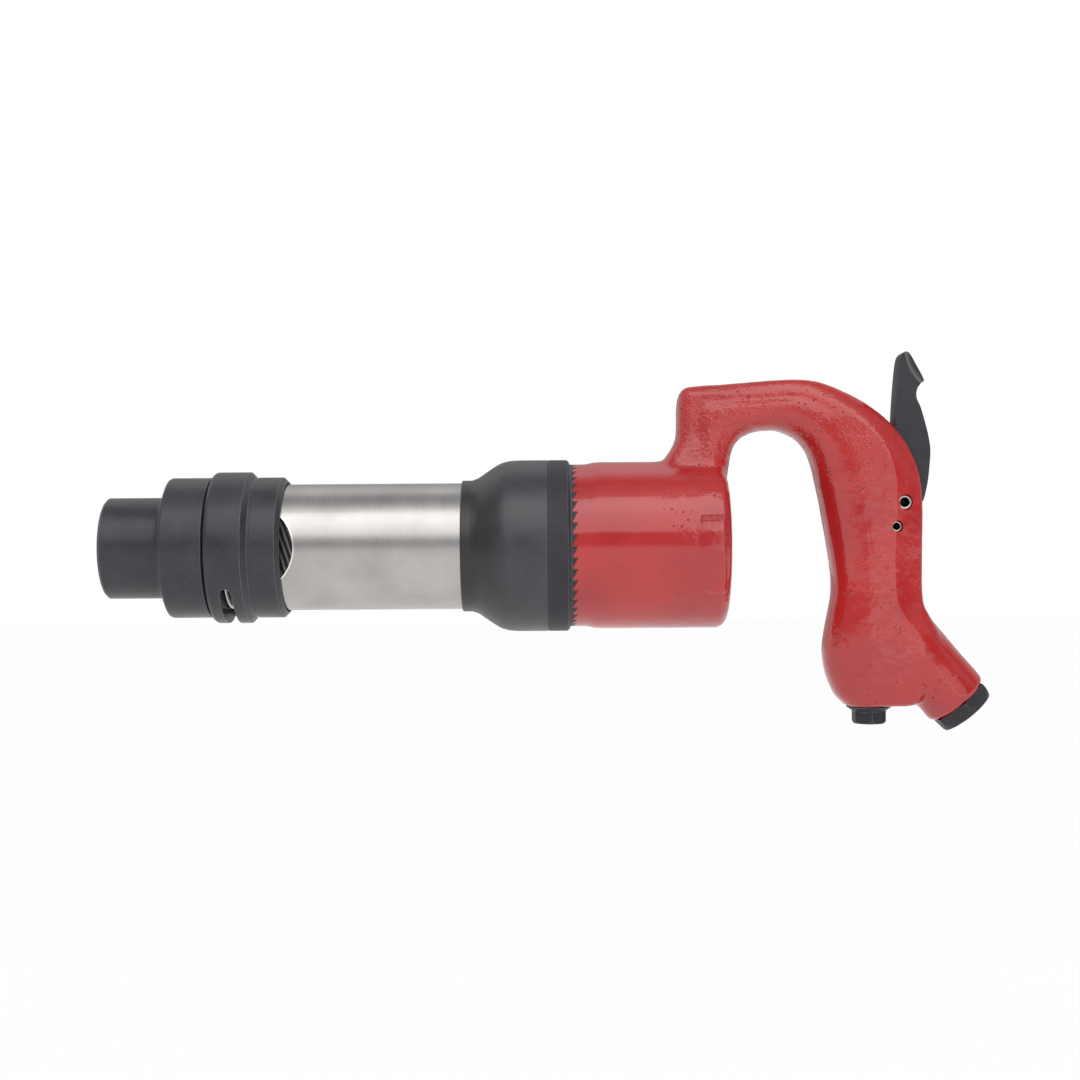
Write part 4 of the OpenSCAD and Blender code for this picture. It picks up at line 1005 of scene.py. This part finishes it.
        def place(round_share: float, along: float) -> tuple[float, float, float]:
            """Places one point of the skin.

            Args:
                round_share: share of the way round the pad's section.
                along: share of the way up the pad.

            Returns:
                The point, in millimetres.
            """
            turn = low + (high - low) * along
            # The lower front corner is rounded
            near = max(0.0, corner - (turn - low) * math.radians(1) * self.cup_r)
            start = self.pad_front + corner - math.sqrt(max(corner**2 - near**2, 0.0))
            face = [start + (back - start) * i / 11 for i in range(1, 11)]
            across = [start, start, *face, back, back, start]
            i = round(round_share * 14)
            x = across[i]
            # A lumpy crest, left by the mould, runs along the top edge and a faint one along the lower
            lumps = 1.5 + 0.45 * math.sin(1.9 * x) + 0.25 * math.sin(4.3 * x + 1)
            crest = math.exp(-(((high - turn) / 1.6) ** 2)) * lumps
            lip = 0.45 * math.exp(-(((turn - low) / 1.2) ** 2))
            r = -4.0 if i in (0, 13, 14) else self.pad_proud + crest + lip - (0.3 if i in (1, 12) else 0.0)
            a = math.radians(turn)
            return (x, -(self.cup_r + r) * math.cos(a), (self.cup_r + r) * math.sin(a))

        return skin("pad", 14, 80, place)

    def crown(self) -> bpy.types.Object:
        """Makes the ring of lock teeth as its own closed ring, a whole number of teeth round.

        Returns:
            The ring of teeth.
        """
        root, depth, e = -self.cup_depth, self.tooth_depth, self.tooth_edge
        # The upper side of each tooth slopes and the lower one stands square
        steps = [(0.0, root - depth), (0.32, root - depth * 0.67), (0.64, root - depth * 0.33), (0.96, root)]
        back = root + 2.4

        def place(round_share: float, along: float) -> tuple[float, float, float]:
            """Places one point of the ring.

            Args:
                round_share: share of the way round the tooth's section.
                along: share of the way round the crown.

            Returns:
                The point, in millimetres.
            """
            index = round(along * self.teeth * len(steps)) % (self.teeth * len(steps))
            tooth, step = divmod(index, len(steps))
            share, tip = steps[step]
            a = math.tau * (tooth + share) / self.teeth
            section = [
                (tip + e, self.bore_r), (tip, self.bore_r + e), (tip, self.crown_r - e),
                (tip + e, self.crown_r), (back, self.crown_r), (back, self.bore_r), (tip + e, self.bore_r),
            ]
            x, r = section[round(round_share * 6)]
            return (x, -r * math.cos(a), r * math.sin(a))

        return skin("crown", 6, self.teeth * len(steps), place)

    def swung(self, x: float, z: float) -> tuple[float, float]:
        """Turns a point of the lever about its pivot through its whole swing.

        Args:
            x: the point's x.
            z: the point's z.

        Returns:
            Its x and z after the swing.
        """
        (px, pz), a = self.pivot, math.radians(self.swing)
        dx, dz = x - px, z - pz
        return px + dx * math.cos(a) - dz * math.sin(a), pz + dx * math.sin(a) + dz * math.cos(a)

    def lever_slot(self) -> bpy.types.Object:
        """Shapes the room for the lever and its arm through the whole swing.

        Returns:
            The cutter.
        """
        front = [self.swung(x, z) for x, z in [(82.1, 51.3), (81.2, 42), (79.4, 34), (76.6, 26.5)]]
        outline = [(104, 16), (104, 60), (self.swung(82.1, 56)[0] - 1, 60)]
        outline += [(x - 1, z + 0.3) for x, z in front]
        outline += [(65.4, 23.7), (65.4, 8.8), (86.6, 8.8), *arc(*self.pivot, 8.0, 290, 345, 6), (93.6, 15.4)]
        return plate("lever_slot", outline, self.slot)

    def bores(self) -> list[bpy.types.Object]:
        """Makes a cutter for each bore, and one that cuts the front off square behind the crown.

        Returns:
            The cutters.
        """
        side, front = Vector((0, 30, 0)), -self.cup_depth
        pivot = Vector((self.pivot[0], 0, self.pivot[1]))
        low = Vector((self.lower_pin[0], 0, self.lower_pin[1]))
        valve_low, valve_high = Vector((self.valve_axis, 0, -80)), Vector((self.valve_axis, 0, 9.2))
        tilt = math.radians(self.boss_tilt)
        face = Vector((self.boss_end[0], 0, self.boss_end[1]))
        out = Vector((math.sin(tilt), 0, -math.cos(tilt)))
        return [
            rod("barrel_bore", self.bore_r, Vector((-70, 0, 0)), Vector((0, 0, 0)), 160),
            rod("pivot_hole", self.pivot_r + self.pin_room, pivot - side, pivot + side),
            rod("lower_hole", self.lower_pin_r + self.pin_room, low - side, low + side),
            rod("valve_bore", self.valve_bore_r, valve_low, valve_high, 64),
            rod("inlet_bore", self.inlet_r, face - out * 13, face + out * 5, 64),
            rod("front_cutter", 40.0, Vector((front - 8, 0, 0)), Vector((front + 2.0, 0, 0)), 96),
        ]

    def near_neck_root(self, x: float, y: float, z: float) -> float:
        """Weighs a point by how near it lies to the line where the neck meets the cup.

        Args:
            x: the point's x.
            y: the point's y.
            z: the point's z.

        Returns:
            A weight from 0 to 1.
        """
        if z <= 22 or not -40 < x < 16:
            return 0.0
        return clamp((1 - abs(math.hypot(y, z) - self.cup_r - 2) / self.root_reach) * 1.6)

    def near_boss_root(self, x: float, _y: float, z: float) -> float:
        """Weighs a point by how deep it lies in the root of the inlet boss.

        Args:
            x: the point's x.
            _y: the point's y, which makes no difference.
            z: the point's z.

        Returns:
            A weight from 0 to 1.
        """
        tilt = math.radians(self.boss_tilt)
        dx, dz = x - self.boss_end[0], z - self.boss_end[1]
        back = dz * math.sin(tilt) - dx * math.cos(tilt)
        aside = abs(dx * math.sin(tilt) + dz * math.cos(tilt))
        return clamp((back - 4) / 7) * clamp((36 - back) / 10) * clamp((30 - aside) / 8)

    def how_rough(self, x: float, _y: float, z: float) -> float:
        """Weighs a point by the roughness of the casting: most round the neck, least on the ground cup.

        Args:
            x: the point's x.
            _y: the point's y, which makes no difference.
            z: the point's z.

        Returns:
            A weight from 0 to 1.
        """
        neck = max(0.0, 1 - math.hypot((x - 6) / 26, (z - 45) / 26))
        return clamp((x + 20) / 10) * (0.35 + 0.65 * min(neck * 1.6, 1.0))

    def roughen(self, body: bpy.types.Object) -> None:
        """Melts the roots of the neck and the boss, and lumps the sand casting's skin.

        Args:
            body: the casting before its bores are cut.
        """
        roots = (("root", self.near_neck_root, 90), ("boss_root", self.near_boss_root, 160))
        for name, rule, passes in roots:
            weigh(body, name, rule)
            modify(body, "SMOOTH", factor=0.5, iterations=passes, vertex_group=name)
        weigh(body, "rough", self.how_rough)
        for name, size, strength in (("lumps", 5.0, 0.5), ("grains", 1.7, 0.22)):
            clouds = bpy.data.textures.new(name, "CLOUDS")
            clouds.noise_scale = size * MM
            clouds.noise_depth = 2
            modify(
                body, "DISPLACE", texture=clouds, strength=strength * MM, mid_level=0.5,
                vertex_group="rough", texture_coords="LOCAL")

    def build(self) -> bpy.types.Object:
        """Builds the whole casting.

        Returns:
            The casting, in the tool's frame, in its enamel.
        """
        body = join([self.gooseneck(), self.cup(), self.boss(), self.pad()], "handle_body")
        modify(body, "REMESH", mode="VOXEL", voxel_size=self.voxel * MM, use_smooth_shade=True)
        modify(body, "SMOOTH", factor=0.5, iterations=5)
        self.roughen(body)
        modify(body, "DECIMATE", ratio=0.5)
        for tool in [self.lever_slot(), *self.bores()]:
            cut(body, tool)
        body = join([body, self.crown()], "handle_body")
        body.location.x = self.seat * MM
        settle(body)
        soften(body, 34)
        Finishes.RED_ENAMEL.value.put_on(body)
        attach(body, "housing")
        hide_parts("handle_casting")
        return body


@dataclass
class ThumbLever:
    """Thumb lever: a flat forging with eased edges, a dished pad and milled hub faces, in millimetres."""

    seat: float = 196.2
    pivot: tuple[float, float] = (84.6, 17.3)
    hub_r: float = 7.0
    hole_r: float = 3.26
    arm_r: float = 2.6
    arm: tuple[float, float] = (70.4, 15.9)
    thickness: float = 12.0
    edge: float = 0.45
    dish_r: float = 22.0
    dish: tuple[float, float, float] = (107.4, -11.5, 83.5)
    face_r: float = 21.7
    face_depth: float = 0.12

    def outline(self) -> list[tuple[float, float]]:
        """Follows the lever's edge: up the back, over the pad, down the front and round the arm and hub.

        Returns:
            The outline's corners as x and z.
        """
        back = [
            (93.9, 18.4), (94.9, 22), (96.1, 28.5), (96.9, 38), (96.7, 42.4), (95.5, 48.6), (93.1, 57.4),
            (91.4, 61.4), (91.1, 63.4), (91.3, 65), (92, 66.7), (93.5, 68.3), (95.6, 69.4),
        ]
        pad = [(96.4, 70.2), (95.9, 72.2), (95, 74.3), (93.7, 76.7), (91.9, 79.8), (90.6, 81.5), (89.3, 82.3)]
        front = [
            (87.6, 82.3), (85.9, 81.2), (84.9, 79.6), (84.3, 76.8), (83.6, 70.9), (82.8, 61.6),
            (82.1, 51.3), (81.2, 42), (79.4, 34), (76.6, 26.5), (72.8, 21.2),
        ]
        px, pz = self.pivot
        run = [smooth(back, i / 60) for i in range(61)] + pad + [smooth(front, i / 50) for i in range(51)]
        run += arc(*self.arm, self.arm_r, 130, 270, 12)
        run += [(74, 13.3), (px - self.hub_r * 0.8, pz - self.hub_r * 0.66)]
        return run + arc(px, pz, self.hub_r, 225, 320, 12) + [(px + self.hub_r * 0.95, pz - 3.2)]

    def build(self) -> bpy.types.Object:
        """Builds the lever.

        Returns:
            The lever, in the tool's frame, in its phosphate.
        """
        lever = plate("lever_forging", self.outline(), self.thickness)
        half, (px, pz) = self.thickness / 2, self.pivot
        for side in (-1, 1):
            # The faces round the hub are milled a hair lower
            inner = Vector((px, side * (half - self.face_depth), pz))
            outer = Vector((px, side * (half + 1), pz))
            cut(lever, rod("spot_face", self.face_r, inner, outer, 128))
        bpy.ops.object.select_all(action="DESELECT")
        bpy.ops.mesh.primitive_uv_sphere_add(segments=96, ring_count=48, radius=self.dish_r * MM)
        dish = bpy.context.object
        dish.location = Vector(self.dish) * MM
        settle(dish)
        cut(lever, dish)
        near, far = Vector((px, -half - 1, pz)), Vector((px, half + 1, pz))
        cut(lever, rod("pin_hole", self.hole_r, near, far, 64))
        tidy(lever)
        sharp = math.radians(42)
        modify(lever, "BEVEL", width=self.edge * MM, segments=3, limit_method="ANGLE", angle_limit=sharp)
        lever.location.x = self.seat * MM
        settle(lever)
        soften(lever, 30)
        Finishes.THUMBED_PHOSPHATE.value.put_on(lever)
        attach(lever, "lever")
        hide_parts("throttle_lever")
        return lever


@dataclass
class SpringPin:
    """Hollow spring pin across the tool, with rounded ends. Lengths are in millimetres."""

    name: str
    node: str
    at: tuple[float, float]
    radius: float
    half: float
    seat: float = 196.2

    def build(self) -> bpy.types.Object:
        """Builds the pin as a tube with rounded ends.

        Returns:
            The pin, in the tool's frame, bright outside and with painted shade inside.
        """
        r, h, bore, lip = self.radius, self.half, self.radius * 0.6, self.radius * 0.16
        turns = (0, 0.4, 0.8, 1.2, 1.57)
        end = [(h - lip + lip * math.sin(a), r - lip + lip * math.cos(a)) for a in turns]
        inner = [(h - lip + lip * math.cos(a), bore + lip - lip * math.sin(a)) for a in turns]
        near = end + inner
        pin = turned(self.name, near + [(-x, q) for x, q in reversed(near)], 64)
        pin.rotation_euler = (0, 0, math.radians(90))
        pin.location = Vector((self.seat + self.at[0], 0, self.at[1])) * MM
        settle(pin)
        soften(pin, 50)
        axis = ((self.seat + self.at[0]) * MM, self.at[1] * MM)
        PinSteel(f"{self.name}_steel", "spring_steel", 0.2, 1.0, axis, bore * MM).put_on(pin)
        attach(pin, "housing")
        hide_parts(self.node)
        return pin


@dataclass
class LockRing:
    """Dark lock ring whose teeth lean the way that they do on the tool, to fit the casting's crown."""

    source: bpy.types.Object
    name: str = "leaning_lock_ring"
    node: str = "lock_ring"

    def build(self) -> bpy.types.Object:
        """Copies the plain ring and mirrors it across the tool.

        Returns:
            The ring, in the tool's frame, in its phosphate.
        """
        only(self.source)
        bpy.ops.object.duplicate(linked=False)
        ring = bpy.context.object
        ring.name = self.name
        ring.scale = (1.0, -1.0, 1.0)
        settle(ring)
        # The copy's own normals point where they did before it was mirrored
        bpy.ops.mesh.customdata_custom_splitnormals_clear()
        tidy(ring)
        soften(ring, 12)
        Finishes.PHOSPHATE.value.put_on(ring)
        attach(ring, "lock")
        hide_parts(self.node)
        return ring


@dataclass
class CoilSpring:
    """Open coil spring round X or Z. Lengths are in millimetres."""

    name: str
    node: str
    joint: str
    foot: tuple[float, float, float]
    axis: tuple[float, float, float]
    radius: float
    wire: float
    length: float
    turns: int
    keep: float

    def build(self) -> bpy.types.Object:
        """Winds the spring.

        Returns:
            The spring, in the tool's frame, in bright spring steel.
        """
        fx, fy, fz = self.foot

        def place(round_share: float, along: float) -> tuple[float, float, float]:
            """Places one point of the wire's skin.

            Args:
                round_share: share of the way round the wire.
                along: share of the way along the wire.

            Returns:
                The point, in millimetres.
            """
            turn, about = math.tau * self.turns * along, math.tau * round_share
            q = self.radius + self.wire / 2 * math.cos(about)
            lift = self.wire / 2 * (1 + math.sin(about)) + (self.length - self.wire) * along
            u, v = q * math.cos(turn), q * math.sin(turn)
            return (fx + lift, fy + u, fz + v) if self.axis[0] else (fx + u, fy + v, fz + lift)

        spring = skin(self.name, 12, self.turns * 32, place)
        soften(spring, 50)
        Finishes.SPRING_STEEL.value.put_on(spring)
        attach(spring, "housing")
        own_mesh(spring)
        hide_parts(self.node)
        return spring


@dataclass
class Studio:
    """Camera, soft lights, floor and backdrop."""

    aim: tuple[float, float] = (0.1264, 0.0024)
    distance: float = 0.71
    width_seen: float = 0.4644
    roll_deg: float = 0.4
    drop: float = 0.1
    sensor_mm: float = 36.0
    lamp_aim: tuple[float, float, float] = (0.15, 0, 0)
    lamp_away: float = 1.5
    dim_room: float = 0.45

    def build(self, low: float) -> None:
        """Sets the whole studio up.

        Args:
            low: the tool's lowest point.
        """
        bpy.context.scene.view_settings.view_transform = "Standard"
        self.camera()
        self.stage(low - self.drop)
        self.world()
        # Long softbox over the camera, and a broad panel to its right
        self.softbox("over_camera", 0.0, 43.0, (2.2, 1.4), 1.3)
        self.softbox("right_panel", 26.0, 8.0, (0.9, 1.0), 0.7)

    def camera(self) -> None:
        """Puts the camera where the photograph's was: level, square to the tool's side."""
        data = bpy.data.cameras.new("camera")
        data.sensor_width = self.sensor_mm
        data.lens = self.sensor_mm * self.distance / self.width_seen
        data.clip_start, data.clip_end = 0.01, 20
        eye = bpy.data.objects.new("camera", data)
        bpy.context.collection.objects.link(eye)
        eye.location = (self.aim[0], -self.distance, self.aim[1])
        eye.rotation_euler = (math.radians(90), math.radians(self.roll_deg), 0)
        bpy.context.scene.camera = eye

    def stage(self, floor_z: float) -> None:
        """Lays a pale flat floor that runs back to a white horizon.

        Args:
            floor_z: height of the floor.
        """
        bpy.ops.object.select_all(action="DESELECT")
        bpy.ops.mesh.primitive_plane_add(size=6.0, location=(0.12, 0.0, floor_z))
        floor = bpy.context.object
        floor.name = "studio_floor"
        settle(floor)
        paper = bpy.data.materials.new("white_paper")
        paper.use_nodes = True
        tree = paper.node_tree
        tree.nodes.clear()
        rays = add(tree, "LightPath").outputs
        # Far back the paper is dim to mirror rays, as the room behind it is
        far = add(tree, "SeparateXYZ", {0: add(tree, "TexCoord").outputs["Object"]}).outputs["Y"]
        near = add(tree, "MapRange", {0: far, 1: 0.1, 2: 0.6, 3: 1.0, 4: self.dim_room}).outputs[0]
        mirrored = add(tree, "Math", {0: rays["Is Glossy Ray"], 1: near}, operation="MULTIPLY").outputs[0]
        seen = add(tree, "Math", {0: rays["Is Camera Ray"], 1: mirrored}, operation="MAXIMUM").outputs[0]
        share = add(tree, "Math", {0: seen, 1: 0.95}, operation="MULTIPLY").outputs[0]
        matt = add(tree, "BsdfDiffuse", {"Color": linear("#F6F6F6")}).outputs[0]
        glow = add(tree, "Emission", {"Color": (1, 1, 1, 1), "Strength": 1.0}).outputs[0]
        both = add(tree, "MixShader", {"Fac": share, 1: matt, 2: glow}).outputs[0]
        add(tree, "OutputMaterial", {"Surface": both})
        floor.data.materials.append(paper)
        floor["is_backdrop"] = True

    def world(self) -> None:
        """Makes a white backdrop for the camera, and for the tool a room with light and dim sides."""
        world = bpy.data.worlds.new("studio")
        bpy.context.scene.world = world
        world.use_nodes = True
        tree = world.node_tree
        tree.nodes.clear()
        axes = add(tree, "SeparateXYZ", {0: add(tree, "TexCoord").outputs["Generated"]}).outputs
        towards = add(tree, "Math", {0: axes["Y"], 1: -1.0}, operation="MULTIPLY").outputs[0]
        turn = add(tree, "Math", {0: axes["Z"], 1: towards}, operation="ARCTAN2").outputs[0]
        share = add(tree, "MapRange", {0: turn, 1: -math.pi, 2: math.pi}).outputs[0]
        # From behind and below, under, in front, overhead, and back to behind
        sides = [
            (0.0, "#FFFFFF"), (0.2, "#F4F4F4"), (0.495, "#F0F0F0"), (0.5, "#949494"),
            (0.58, "#949494"), (0.66, "#FFFFFF"), (0.77, "#8C8C8C"), (0.83, "#FFFFFF"),
        ]
        grey = add(tree, "ValToRGB", {"Fac": share}, sides).outputs["Color"]
        rays = add(tree, "LightPath").outputs
        # Mirror rays find a dim room straight behind the tool and to its right, so that its edges stay crisp
        beside = add(tree, "MapRange", {0: axes["X"], 1: 0.5, 2: 0.85}).outputs[0]
        beyond = add(tree, "MapRange", {0: axes["Y"], 1: 0.5, 2: 0.92}).outputs[0]
        dim = add(tree, "Math", {0: beyond, 1: beside}, operation="MAXIMUM").outputs[0]
        behind = add(tree, "Math", {0: dim, 1: rays["Is Glossy Ray"]}, operation="MULTIPLY").outputs[0]
        bright = add(tree, "MapRange", {0: behind, 3: 1.0, 4: self.dim_room}).outputs[0]
        shade = add(tree, "Background", {"Color": grey, "Strength": bright}).outputs[0]
        white = add(tree, "Background", {"Color": (1, 1, 1, 1), "Strength": 1.0}).outputs[0]
        both = add(tree, "MixShader", {"Fac": rays["Is Camera Ray"], 1: shade, 2: white}).outputs[0]
        add(tree, "OutputWorld", {"Surface": both})

    def softbox(
        self, name: str, right_deg: float, up_deg: float, size: tuple[float, float], radiance: float
    ) -> None:
        """Hangs one soft rectangular light, turned to the tool.

        Args:
            name: the light's name.
            right_deg: how far right of the camera it hangs, seen from the tool.
            up_deg: how high it hangs.
            size: width and height.
            radiance: how bright its face looks, where 1 is white.
        """
        data = bpy.data.lights.new(name, "AREA")
        data.shape = "RECTANGLE"
        data.size, data.size_y = size
        data.energy = radiance * math.pi * size[0] * size[1]
        lamp = bpy.data.objects.new(name, data)
        bpy.context.collection.objects.link(lamp)
        right, up = math.radians(right_deg), math.radians(up_deg)
        way = Vector((math.sin(right) * math.cos(up), -math.cos(right) * math.cos(up), math.sin(up)))
        lamp.location = Vector(self.lamp_aim) + self.lamp_away * way
        lamp.rotation_euler = way.to_track_quat("Z", "Y").to_euler()


def main() -> None:
    """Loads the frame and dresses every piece."""
    logging.basicConfig(level=logging.INFO, format="%(message)s")
    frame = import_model()
    cad_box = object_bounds()
    Studio().build(cad_box[0].z)
    for name, node in frame["nodes"].items():
        NODE_FINISHES[name].value.put_on(node)
        LOG.info("dressed %s in %s", name, NODE_FINISHES[name].value.name)
    lock_coil = CoilSpring(
        "lock_coil", "lock_spring", "lock_ring_slide",
        foot=(116.12, 0.0, 0.0), axis=(1, 0, 0), radius=32.0, wire=1.8, length=13.55, turns=3, keep=0.74)
    throttle_coil = CoilSpring(
        "throttle_coil", "throttle_spring", "throttle_slide",
        foot=(267.2, 0.0, -56.8), axis=(0, 0, 1), radius=4.4, wire=1.1, length=38.7, turns=8, keep=0.915)
    pieces = [
        HandleCasting(),
        ThumbLever(),
        SpringPin("pivot_spring_pin", "lever_pivot_pin", at=(84.6, 17.3), radius=3.2, half=11.7),
        SpringPin("lower_spring_pin", "bushing_roll_pin", at=(80.8, 7.1), radius=2.4, half=12.9),
        LockRing(frame["nodes"]["lock_ring"]),
        lock_coil,
        throttle_coil,
    ]
    for piece in pieces:
        made = piece.build()
        LOG.info("built %s with %d faces", made.name, len(made.data.polygons))


if __name__ == "__main__":
    main()
